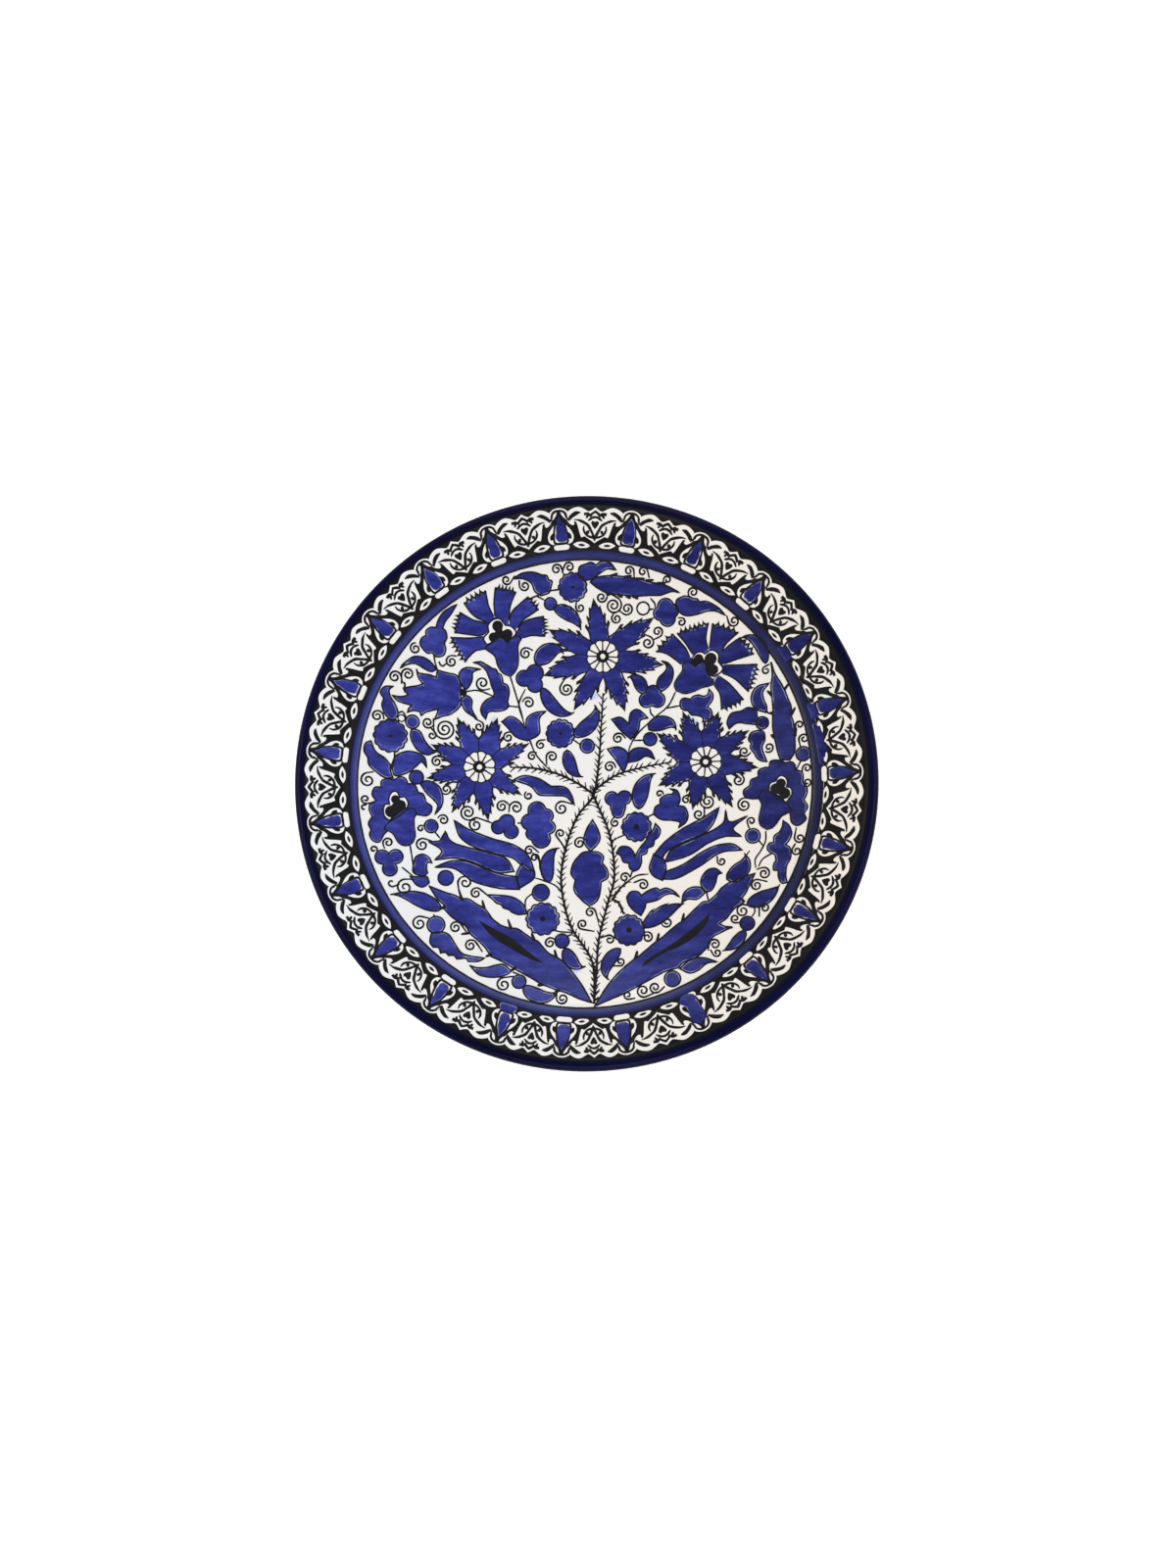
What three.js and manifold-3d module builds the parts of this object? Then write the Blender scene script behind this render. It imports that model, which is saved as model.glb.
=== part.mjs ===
// Hand painted ceramic plate, lying face up on its foot ring.
// Millimetres, +Z up, origin on the plate's axis in the plane that the foot ring rests on.
// +Y points to the top of the painted picture.
//
// The plate is built in the order in which it is made: a turned clay body, a glaze coat on the
// face and on the back, bands of colour on the rim, border and ring, and the raised cobalt
// enamel of each painted flower, leaf and border drop.

import * as THREE from 'three';
import { mergeVertices } from 'three/addons/utils/BufferGeometryUtils.js';
import Module from 'manifold-3d';

const wasm = await Module();
wasm.setup();

// ---------------------------------------------------------------- driving dimensions

const PLATE_RADIUS = 135;
const AROUND = 60;                  // flat sides around every turned surface

const FLOOR_HEIGHT = 10.5;          // clay face at the centre
const WELL_RADIUS = 105;            // where the curved well ends and the straight flange starts
const WELL_RISE = 14;
const WELL_CURVE = 2.8;
const FLANGE_SLOPE = THREE.MathUtils.degToRad(15);
const LIP_THICKNESS = 5;
const LIP_STEPS = 7;

const FOOT_OUTER = 76;
const FOOT_INNER = 70;
const RECESS_DEPTH = 5;
const FOOT_CHAMFER = 1;
const HANGING_HOLE = { diameter: 2.6, height: 2.6, spacing: 34 };

const LAYER_GAP = 0.1;              // clearance between one layer and the next
const GLAZE = 0.5;
const GROUND = 0.25;
const ENAMEL = 0.4;

const RIM_BAND_INNER = 129.6;
const BORDER_OUTER = 129.2;
const BORDER_INNER = 111;
const RING_OUTER = 110;
const RING_INNER = 105.6;

const BORDER_REPEATS = 23;
const BORDER_CENTRE = [-1.2, 0];                     // the border is printed a little off centre
const FIRST_DROP = 10.4;                             // degrees clockwise from the top
const WIDE_STEPS = { from: 5, to: 10, step: 16.45 }; // repeats that are spread out
const TIGHT_STEPS = { from: 10, to: 12, step: 13.55 }; // repeats that crowd together at the join

// ---------------------------------------------------------------- materials

const CREAM_GLAZE = { color: 0xeeebe4, roughness: 0.16, metalness: 0 };
const COBALT = { color: 0x2d3487, roughness: 0.2, metalness: 0 };
const NAVY = { color: 0x141636, roughness: 0.14, metalness: 0 };
const BLACK = { color: 0x17161a, roughness: 0.3, metalness: 0 };
const CLAY = { color: 0xd9cbb6, roughness: 0.85, metalness: 0 };

const plate = new THREE.Group();

function addMesh(name, geometry, look) {
  const mesh = new THREE.Mesh(geometry, new THREE.MeshStandardMaterial(look));
  mesh.name = name;
  plate.add(mesh);
  return mesh;
}

// ---------------------------------------------------------------- solids and booleans

function solidFrom(geometry) {
  const bare = geometry.clone();
  bare.deleteAttribute('normal');
  bare.deleteAttribute('uv');
  const merged = mergeVertices(bare, 1e-4);
  return new wasm.Manifold(new wasm.Mesh({
    numProp: 3,
    vertProperties: new Float32Array(merged.attributes.position.array),
    triVerts: new Uint32Array(merged.index.array),
  }));
}

function geometryFrom(solid) {
  const mesh = solid.getMesh();
  const geometry = new THREE.BufferGeometry();
  geometry.setAttribute('position', new THREE.BufferAttribute(mesh.vertProperties, mesh.numProp));
  geometry.setIndex(new THREE.BufferAttribute(mesh.triVerts, 1));
  geometry.computeVertexNormals();
  return geometry;
}

// A turned solid about +Z from a profile of [radius, height] points, listed anticlockwise.
function turned(profile) {
  const closed = [...profile, profile[0]].map(([radius, height]) => new THREE.Vector2(radius, height));
  const geometry = new THREE.LatheGeometry(closed, AROUND);
  geometry.rotateX(Math.PI / 2);
  return geometry;
}

// ---------------------------------------------------------------- the plate's section

function faceHeight(radius) {
  if (radius <= WELL_RADIUS) {
    return FLOOR_HEIGHT + WELL_RISE * (radius / WELL_RADIUS) ** WELL_CURVE;
  }
  return FLOOR_HEIGHT + WELL_RISE + (radius - WELL_RADIUS) * Math.tan(FLANGE_SLOPE);
}

// Every layer on the face bends at these radii, so that the layers stay parallel.
const FACE_BENDS = [0, 30, 55, 74, 90, WELL_RADIUS, BORDER_INNER, BORDER_OUTER];

const LIP = { radius: LIP_THICKNESS / 2 };
LIP.x = PLATE_RADIUS - LAYER_GAP - GLAZE - LIP.radius;
LIP.topRadius = LIP.x - LIP.radius * Math.sin(FLANGE_SLOPE);
LIP.z = faceHeight(LIP.topRadius) - LIP.radius * Math.cos(FLANGE_SLOPE);

// The lip's round edge, from its tangent point on the face to the one on the back.
function lipArc(offset) {
  const points = [];
  for (let step = 0; step <= LIP_STEPS; step += 1) {
    const angle = Math.PI / 2 + FLANGE_SLOPE - (Math.PI * step) / LIP_STEPS;
    const reach = LIP.radius + offset;
    points.push([LIP.x + reach * Math.cos(angle), LIP.z + reach * Math.sin(angle)]);
  }
  return points;
}

function flangeUnderside(radius) {
  return faceHeight(radius) - LIP_THICKNESS / Math.cos(FLANGE_SLOPE);
}

// The back of the clay from the flange to the foot ring.
const BACK = [
  [WELL_RADIUS + 3, flangeUnderside(WELL_RADIUS + 3)],
  [96, 15.2],
  [86, 9.8],
  [FOOT_OUTER, 7],
];

// One layer on the face, between two radii, resting on everything below it.
function faceLayer(inner, outer, bottom, thickness) {
  const radii = [inner, ...FACE_BENDS.filter((radius) => radius > inner && radius < outer), outer];
  const faceOn = (radius) => {
    const next = FACE_BENDS.findIndex((bend) => bend >= radius);
    if (next <= 0) {
      return faceHeight(radius);
    }
    const [low, high] = [FACE_BENDS[next - 1], FACE_BENDS[next]];
    return THREE.MathUtils.mapLinear(radius, low, high, faceHeight(low), faceHeight(high));
  };
  const lower = radii.map((radius) => [radius, faceOn(radius) + bottom]);
  const upper = radii.map((radius) => [radius, faceOn(radius) + bottom + thickness]).reverse();
  return turned([...lower, ...upper]);
}

// ---------------------------------------------------------------- clay body

function makeClayBody() {
  const face = [...FACE_BENDS].reverse().map((radius) => [radius, faceHeight(radius)]);
  const back = [
    [0, RECESS_DEPTH],
    [FOOT_INNER - 3, RECESS_DEPTH],
    [FOOT_INNER, RECESS_DEPTH - 2],
    [FOOT_INNER, FOOT_CHAMFER],
    [FOOT_INNER + FOOT_CHAMFER, 0],
    [FOOT_OUTER - FOOT_CHAMFER, 0],
    [FOOT_OUTER, FOOT_CHAMFER],
    ...[...BACK].reverse(),
  ];
  const body = solidFrom(turned([...back, ...lipArc(0).reverse(), ...face]));
  return geometryFrom(hangingHoles().reduce((solid, hole) => solid.subtract(hole), body));
}

// Two small holes through the foot ring near the top, which a hanging wire passes through.
function hangingHoles() {
  return [-1, 1].map((side) => {
    const drill = new THREE.CylinderGeometry(
      HANGING_HOLE.diameter / 2, HANGING_HOLE.diameter / 2, FOOT_OUTER - FOOT_INNER + 12, 12);
    const x = (side * HANGING_HOLE.spacing) / 2;
    const y = Math.sqrt(((FOOT_OUTER + FOOT_INNER) / 2) ** 2 - x ** 2);
    drill.rotateZ(-Math.atan2(x, y));
    drill.translate(x, y, HANGING_HOLE.height);
    return solidFrom(drill);
  });
}

addMesh('clay_body', makeClayBody(), CLAY);

// ---------------------------------------------------------------- glaze coats

addMesh('face_glaze', faceLayer(0, BORDER_OUTER, LAYER_GAP, GLAZE), CREAM_GLAZE);

function makeBackGlaze() {
  const drop = GLAZE + LAYER_GAP;
  const outerEdge = [BORDER_OUTER, flangeUnderside(BORDER_OUTER)];
  const inner = [outerEdge, ...BACK.slice(0, -1), [FOOT_OUTER + 1, 7.28]];
  const near = inner.map(([radius, height]) => [radius, height - LAYER_GAP]);
  const far = inner.map(([radius, height]) => [radius, height - drop]).reverse();
  return turned([...near, ...far]);
}

addMesh('back_glaze', makeBackGlaze(), CREAM_GLAZE);

addMesh('recess_glaze', turned([
  [0, RECESS_DEPTH - LAYER_GAP - GLAZE],
  [FOOT_INNER - 4, RECESS_DEPTH - LAYER_GAP - GLAZE],
  [FOOT_INNER - 4, RECESS_DEPTH - LAYER_GAP],
  [0, RECESS_DEPTH - LAYER_GAP],
]), CREAM_GLAZE);

// ---------------------------------------------------------------- painted bands

// Navy band that wraps the lip from the edge of the border round to the back.
function makeRimBand() {
  const slope = Math.tan(FLANGE_SLOPE);
  const start = (offset) => [
    RIM_BAND_INNER, faceHeight(LIP.topRadius) + offset - (LIP.topRadius - RIM_BAND_INNER) * slope];
  const end = (offset) => [RIM_BAND_INNER, flangeUnderside(RIM_BAND_INNER) - offset];
  const near = LAYER_GAP / Math.cos(FLANGE_SLOPE);
  const far = (LAYER_GAP + GLAZE) / Math.cos(FLANGE_SLOPE);
  const inside = [start(near), ...lipArc(LAYER_GAP), end(near)];
  const outside = [start(far), ...lipArc(LAYER_GAP + GLAZE), end(far)].reverse();
  return turned([...inside, ...outside]);
}

const ON_GLAZE = LAYER_GAP + GLAZE + LAYER_GAP;
const ON_GROUND = ON_GLAZE + GROUND + LAYER_GAP;

addMesh('rim_band', makeRimBand(), NAVY);
addMesh('border_ground', faceLayer(BORDER_INNER, BORDER_OUTER, ON_GLAZE, GROUND), BLACK);
addMesh('well_ring', faceLayer(RING_INNER, RING_OUTER, ON_GLAZE, ENAMEL), COBALT);

// ---------------------------------------------------------------- raised enamel

const wellEnamel = solidFrom(faceLayer(0, RING_INNER - 1, ON_GLAZE, ENAMEL));
const borderEnamel = solidFrom(faceLayer(BORDER_INNER + 1, BORDER_OUTER - 1, ON_GROUND, ENAMEL));

// Cuts a painted patch out of a layer: outline in its own axes, turned by heading and moved to at.
function enamelPatch(name, shape, at, heading, layer, look = COBALT) {
  const stamp = new THREE.ExtrudeGeometry(shape, { depth: 60, bevelEnabled: false, curveSegments: 5 });
  stamp.rotateZ(heading);
  stamp.translate(at[0], at[1], 0);
  return addMesh(name, geometryFrom(solidFrom(stamp).intersect(layer)), look);
}

const degrees = THREE.MathUtils.degToRad;

// Flower with pointed petals; radius is measured to the tips.
function starShape(radius, petals) {
  const points = [];
  for (let corner = 0; corner < petals * 2; corner += 1) {
    const angle = (Math.PI * corner) / petals;
    const reach = corner % 2 === 0 ? radius : radius * 0.5;
    points.push(new THREE.Vector2(reach * Math.cos(angle), reach * Math.sin(angle)));
  }
  return new THREE.Shape(points);
}

// Carnation: a fan of petals that opens along +X, with a cup behind it.
function carnationShape(radius, halfFan, cupLength) {
  const shape = new THREE.Shape();
  shape.moveTo(-cupLength, 0);
  shape.quadraticCurveTo(-cupLength * 0.5, -radius * 0.4, 0, -radius * 0.3);
  shape.lineTo(radius * Math.cos(halfFan), -radius * Math.sin(halfFan));
  shape.absarc(0, 0, radius, -halfFan, halfFan, false);
  shape.lineTo(0, radius * 0.3);
  shape.quadraticCurveTo(-cupLength * 0.5, radius * 0.4, -cupLength, 0);
  return shape;
}

// Leaf or petal that is pointed at both ends, from the origin along +X.
function leafShape(length, width, fullest = 0.45) {
  const shape = new THREE.Shape();
  shape.moveTo(0, 0);
  shape.quadraticCurveTo(length * fullest, -width, length, 0);
  shape.quadraticCurveTo(length * fullest, width, 0, 0);
  return shape;
}

// Tulip from its base at the origin along +X, with three long petals.
function tulipShape(length, width) {
  const half = width / 2;
  const shape = new THREE.Shape();
  shape.moveTo(0, 0);
  shape.quadraticCurveTo(length * 0.1, -half, length * 0.55, -half * 0.8);
  shape.lineTo(length * 0.95, -half);
  shape.lineTo(length * 0.55, -half * 0.25);
  shape.lineTo(length, 0);
  shape.lineTo(length * 0.55, half * 0.25);
  shape.lineTo(length * 0.95, half);
  shape.lineTo(length * 0.55, half * 0.8);
  shape.quadraticCurveTo(length * 0.1, half, 0, 0);
  return shape;
}

// Pointed bud over a lobed body, along +X.
function budShape(length, width) {
  const half = width / 2;
  const shape = new THREE.Shape();
  shape.moveTo(0, 0);
  shape.quadraticCurveTo(length * 0.2, -half, length * 0.3, -half * 0.7);
  shape.quadraticCurveTo(length * 0.5, -half * 1.3, length * 0.65, -half * 0.4);
  shape.quadraticCurveTo(length * 0.8, -half * 0.6, length, 0);
  shape.quadraticCurveTo(length * 0.8, half * 0.6, length * 0.65, half * 0.4);
  shape.quadraticCurveTo(length * 0.5, half * 1.3, length * 0.3, half * 0.7);
  shape.quadraticCurveTo(length * 0.2, half, 0, 0);
  return shape;
}

const STAR_RADIUS = 22;
enamelPatch('star_flower_top', starShape(STAR_RADIUS, 8), [7.5, 59.5], degrees(90), wellEnamel);
enamelPatch('star_flower_left', starShape(STAR_RADIUS, 8), [-49.5, 8], degrees(78), wellEnamel);
enamelPatch('star_flower_right', starShape(STAR_RADIUS, 8), [55, 10.5], degrees(102), wellEnamel);

const CARNATION_RADIUS = 19;
const carnation = carnationShape(CARNATION_RADIUS, degrees(80), 16);
enamelPatch('carnation_left', carnation, [-39, 70], degrees(104), wellEnamel);
enamelPatch('carnation_right', carnation, [55.5, 57], degrees(52), wellEnamel);

const sideFlower = carnationShape(14, degrees(85), 13);
enamelPatch('side_flower_left', sideFlower, [-87.5, -11], degrees(118), wellEnamel);
enamelPatch('side_flower_right', sideFlower, [88, -3.5], degrees(74), wellEnamel);

const tulip = tulipShape(43, 22);
enamelPatch('tulip_left', tulip, [-26, -41.5], degrees(158), wellEnamel);
enamelPatch('tulip_right', tulip, [30, -39], degrees(27), wellEnamel);

const longLeaf = leafShape(94, 22, 0.55);
enamelPatch('long_leaf_left', longLeaf, [2, -101], degrees(142.5), wellEnamel);
enamelPatch('long_leaf_right', longLeaf, [5, -101], degrees(39), wellEnamel);

enamelPatch('centre_bud', budShape(40, 15), [1.5, -57.5], degrees(89), wellEnamel);
enamelPatch('lily', tulipShape(34, 22), [-55, 42], degrees(178), wellEnamel);
enamelPatch('top_leaf', leafShape(38, 9), [3, 92], degrees(-3), wellEnamel);
enamelPatch('side_leaf', leafShape(38, 9), [91.5, 13], degrees(100), wellEnamel);

// ---------------------------------------------------------------- border drops

const DROP = { inner: 113.4, length: 12, width: 6 };

function dropShape() {
  const half = DROP.width / 2;
  const shape = new THREE.Shape();
  shape.moveTo(0, -half * 0.8);
  shape.lineTo(DROP.length * 0.4, -half);
  shape.lineTo(DROP.length, 0);
  shape.lineTo(DROP.length * 0.4, half);
  shape.lineTo(0, half * 0.8);
  shape.closePath();
  return shape;
}

// Degrees from each drop to the next, going clockwise. The print's join makes some of them uneven.
function borderSteps() {
  const uneven = [WIDE_STEPS, TIGHT_STEPS];
  const taken = uneven.reduce((sum, run) => sum + (run.to - run.from) * run.step, 0);
  const count = uneven.reduce((sum, run) => sum + run.to - run.from, 0);
  const even = (360 - taken) / (BORDER_REPEATS - count);
  return Array.from({ length: BORDER_REPEATS }, (_, index) => {
    const run = uneven.find(({ from, to }) => index >= from && index < to);
    return run ? run.step : even;
  });
}

let clockwise = FIRST_DROP;
borderSteps().forEach((step, index) => {
  const heading = degrees(90 - clockwise);
  const at = [
    BORDER_CENTRE[0] + DROP.inner * Math.cos(heading),
    BORDER_CENTRE[1] + DROP.inner * Math.sin(heading),
  ];
  enamelPatch(`border_drop_${String(index + 1).padStart(2, '0')}`, dropShape(), at, heading, borderEnamel);
  clockwise += step;
});

export default plate;
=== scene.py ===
"""Looks of the hand painted ceramic plate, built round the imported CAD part.

Lengths in this script are millimetres on the plate, in the part's own axes, and are turned into
Blender's metres by MM where a mesh is made. The camera, the materials and the studio use metres.
+Y points to the top of the painted picture.
All painting is real relief laid on the glaze: raised cobalt enamel, black drawn lines, and the
white and black shapes of the printed border.
"""

import math
import random

import bpy
import numpy as np
from mathutils import Matrix, Vector
from mathutils.geometry import delaunay_2d_cdt


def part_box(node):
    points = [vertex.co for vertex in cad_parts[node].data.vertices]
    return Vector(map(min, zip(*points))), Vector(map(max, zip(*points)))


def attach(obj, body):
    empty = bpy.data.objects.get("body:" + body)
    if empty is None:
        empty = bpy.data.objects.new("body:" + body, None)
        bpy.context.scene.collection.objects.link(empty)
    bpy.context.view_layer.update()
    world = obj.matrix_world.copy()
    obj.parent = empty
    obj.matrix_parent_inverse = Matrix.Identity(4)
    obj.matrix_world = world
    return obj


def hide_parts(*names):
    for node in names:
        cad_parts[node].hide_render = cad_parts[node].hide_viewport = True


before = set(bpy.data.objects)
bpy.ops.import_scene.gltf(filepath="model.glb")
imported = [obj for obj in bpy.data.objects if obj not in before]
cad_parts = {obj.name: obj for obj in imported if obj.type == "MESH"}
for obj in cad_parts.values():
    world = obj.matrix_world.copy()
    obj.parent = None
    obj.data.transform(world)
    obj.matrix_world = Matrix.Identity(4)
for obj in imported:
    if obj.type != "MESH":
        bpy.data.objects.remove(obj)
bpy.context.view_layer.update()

MM = 0.001                                   # one millimetre in metres
TAU = 2 * math.pi
rng = random.Random(23)                      # small slips of the painter's hand

# ------------------------------------------------------------------ camera

LOOK_AT = Vector((0, 0, 0.030))              # metres
CAMERA_DISTANCE = 1.5
CAMERA_ELEVATION = math.radians(80)
CAMERA_SIDE = 0.177                          # how far the viewer stands to the right, of one step back
CAMERA_LENS = 74.56
CAMERA_SHIFT = (0.0013, -0.0031)


def make_camera():
    """Looks down on the plate from the viewer's side, with the picture upright."""
    low = math.cos(CAMERA_ELEVATION)
    back = math.sqrt(1 - CAMERA_SIDE**2)
    direction = Vector((low * CAMERA_SIDE, -low * back, math.sin(CAMERA_ELEVATION)))
    position = LOOK_AT + CAMERA_DISTANCE * direction
    right = (-direction).cross(Vector((0, 1, 0))).normalized()
    up = direction.cross(right)
    data = bpy.data.cameras.new("camera")
    data.lens = CAMERA_LENS
    data.sensor_width = 36
    data.shift_x, data.shift_y = CAMERA_SHIFT
    data.dof.use_dof = False
    camera = bpy.data.objects.new("camera", data)
    turn = Matrix((right, up, direction)).transposed().to_4x4()
    camera.matrix_world = Matrix.Translation(position) @ turn
    bpy.context.scene.collection.objects.link(camera)
    bpy.context.scene.camera = camera


make_camera()

# ------------------------------------------------------------------ the plate's section

PLATE_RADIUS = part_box("rim_band")[1].x / MM
FLOOR_HEIGHT = 10.5                          # clay face at the middle of the well
WELL_RADIUS = 105
WELL_RISE = 14
WELL_CURVE = 2.8                             # power by which the well steepens towards its edge
FLANGE_SLOPE = math.radians(15)
LIP_RADIUS = 2.5
COAT = 0.6                                   # top of the glaze above the clay
BACK_COAT = 0.55
RIM_BAND_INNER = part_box("rim_band")[1].x / MM - 5.4
FOOT_OUTER = 76
FOOT_INNER = 70
RECESS_DEPTH = 5
HOLE_DIAMETER = 2.6                          # hanging holes
HOLE_HEIGHT = 2.6
HOLE_SPACING = 34
DRILL_LENGTH = 18


def clay_height(radius):
    """Height of the clay's face."""
    well = FLOOR_HEIGHT + WELL_RISE * (np.minimum(radius, WELL_RADIUS) / WELL_RADIUS) ** WELL_CURVE
    return well + np.maximum(radius - WELL_RADIUS, 0) * math.tan(FLANGE_SLOPE)


def glaze_height(radius):
    """Height of the top of the glaze."""
    return clay_height(radius) + COAT


LIP_X = PLATE_RADIUS - COAT - LIP_RADIUS
LIP_TOP_X = LIP_X - LIP_RADIUS * math.sin(FLANGE_SLOPE)
LIP_Z = float(clay_height(LIP_TOP_X)) - LIP_RADIUS * math.cos(FLANGE_SLOPE)


def lip_arc(offset, steps=20):
    """Round edge of the plate, from the face over the lip to the underside."""
    points = []
    reach = LIP_RADIUS + offset
    for step in range(steps + 1):
        angle = math.pi / 2 + FLANGE_SLOPE - math.pi * (step / steps)
        points.append((LIP_X + reach * math.cos(angle), LIP_Z + reach * math.sin(angle)))
    return points


def underside(radius):
    """Height of the clay's back under the flange."""
    return float(clay_height(radius)) - 2 * LIP_RADIUS / math.cos(FLANGE_SLOPE)


# ------------------------------------------------------------------ colours and node helpers


def srgb(red, green, blue):
    """Screen colour (0 to 255) as a linear colour."""
    linear = []
    for value in (red, green, blue):
        share = value / 255
        linear.append(share / 12.92 if share <= 0.04045 else ((share + 0.055) / 1.055) ** 2.4)
    return (*linear, 1.0)


class Look:
    """Small helper to build one procedural material out of linked nodes."""

    def __init__(self, name):
        """Starts from Blender's own shader, with coordinates over the object."""
        self.material = bpy.data.materials.new(name)
        self.material.use_nodes = True
        self.tree = self.material.node_tree
        self.shader = next(node for node in self.tree.nodes if node.type == "BSDF_PRINCIPLED")
        self.place = self.node("ShaderNodeTexCoord").outputs["Object"]

    def node(self, kind, **settings):
        """New node with some of its settings."""
        made = self.tree.nodes.new(kind)
        for key, value in settings.items():
            setattr(made, key, value)
        return made

    def link(self, source, target):
        self.tree.links.new(source, target)

    def noise(self, scale, detail=3.0, roughness=0.55, stretch=None):
        """Noise value over the object, with scale in features per metre."""
        place = self.place
        if stretch:
            mapping = self.node("ShaderNodeMapping")
            mapping.inputs["Scale"].default_value = stretch
            mapping.inputs["Rotation"].default_value = (0, 0, 0.6)
            self.link(place, mapping.inputs["Vector"])
            place = mapping.outputs["Vector"]
        made = self.node("ShaderNodeTexNoise")
        made.inputs["Scale"].default_value = scale
        made.inputs["Detail"].default_value = detail
        made.inputs["Roughness"].default_value = roughness
        self.link(place, made.inputs["Vector"])
        return made.outputs["Fac"]

    def ramp(self, source, stops):
        """Colour ramp through (position, colour) stops."""
        made = self.node("ShaderNodeValToRGB")
        while len(made.color_ramp.elements) < len(stops):
            made.color_ramp.elements.new(0.5)
        for element, (position, colour) in zip(made.color_ramp.elements, stops):
            element.position = position
            element.color = colour
        self.link(source, made.inputs["Fac"])
        return made.outputs["Color"]

    def grey_ramp(self, source, stops):
        """Ramp through (position, brightness) stops."""
        return self.ramp(source, [(position, (value, value, value, 1)) for position, value in stops])

    def mix(self, share, first, second, blend="MIX"):
        """Blend of two colours. Share and colours are outputs of nodes or plain values."""
        made = self.node("ShaderNodeMix", data_type="RGBA", blend_type=blend)
        wanted = ((made.inputs[0], share), (made.inputs[6], first), (made.inputs[7], second))
        for socket, value in wanted:
            if hasattr(value, "is_linked"):
                self.link(value, socket)
            else:
                socket.default_value = value
        return made.outputs[2]

    def multiply(self, first, second):
        """One colour multiplied by another."""
        return self.mix(1.0, first, second, "MULTIPLY")

    def attribute(self, name):
        """Value kept on the points of a painted mesh."""
        return self.node("ShaderNodeAttribute", attribute_name=name).outputs["Fac"]

    def across(self):
        """Place from left to right in metres."""
        split = self.node("ShaderNodeSeparateXYZ")
        self.link(self.place, split.inputs[0])
        return split.outputs["X"]

    def radius(self):
        """Distance from the plate's axis in metres."""
        flat = self.node("ShaderNodeVectorMath", operation="MULTIPLY")
        flat.inputs[1].default_value = (1, 1, 0)
        self.link(self.place, flat.inputs[0])
        length = self.node("ShaderNodeVectorMath", operation="LENGTH")
        self.link(flat.outputs[0], length.inputs[0])
        return length.outputs["Value"]

    def between(self, value, low, high):
        """Maps value from low..high to 0..1."""
        made = self.node("ShaderNodeMapRange")
        made.inputs["From Min"].default_value = low
        made.inputs["From Max"].default_value = high
        self.link(value, made.inputs["Value"])
        return made.outputs["Result"]

    def bump(self, height, strength, distance):
        """Unevenness of the surface, with its height in metres."""
        made = self.node("ShaderNodeBump")
        made.inputs["Strength"].default_value = strength
        made.inputs["Distance"].default_value = distance
        self.link(height, made.inputs["Height"])
        self.link(made.outputs["Normal"], self.shader.inputs["Normal"])

    def finish(self, colour, roughness, specular=0.5, coat=0.0):
        """Sets colour and gloss and gives the material. Roughness is a number or an output of a node."""
        self.link(colour, self.shader.inputs["Base Color"])
        if hasattr(roughness, "is_linked"):
            self.link(roughness, self.shader.inputs["Roughness"])
        else:
            self.shader.inputs["Roughness"].default_value = roughness
        self.shader.inputs["Specular IOR Level"].default_value = specular
        self.shader.inputs["Coat Weight"].default_value = coat
        self.shader.inputs["Coat Roughness"].default_value = 0.06
        return self.material


# ------------------------------------------------------------------ materials


def white_glaze(name, warm=0.0):
    """Off-white tin glaze: faint cool and warm clouds, small pits, a slightly uneven surface, and painted
    light that turns it cool on the left and warm on the right.
    """
    look = Look(name)
    clouds = look.noise(9, detail=4)
    cool_lit_glaze = look.ramp(clouds, [(0.3, srgb(234, 237, 240)), (0.7, srgb(238, 236 - warm, 232 - 2 * warm))])
    warm_lit_glaze = look.ramp(clouds, [(0.3, srgb(233, 229, 222)), (0.7, srgb(237, 227 - warm, 214 - 2 * warm))])
    # painted light: the cool copy on the left of the plate blends into the warm copy on the right
    base = look.mix(look.between(look.across(), -0.09, 0.12), cool_lit_glaze, warm_lit_glaze)
    speck = look.node("ShaderNodeTexVoronoi")
    speck.inputs["Scale"].default_value = 420
    look.link(look.place, speck.inputs["Vector"])
    pits = look.grey_ramp(speck.outputs["Distance"], [(0.03, 1), (0.07, 0)])
    rare = look.grey_ramp(look.noise(60), [(0.6, 0), (0.66, 0.6)])
    shown = look.multiply(pits, rare)
    colour = look.mix(shown, base, srgb(190, 176, 158))
    look.bump(look.noise(75, detail=2), 0.25, 0.0004)
    shine = look.grey_ramp(look.noise(35), [(0.3, 0.1), (0.8, 0.24)])
    return look.finish(colour, shine, coat=0.3)


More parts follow.
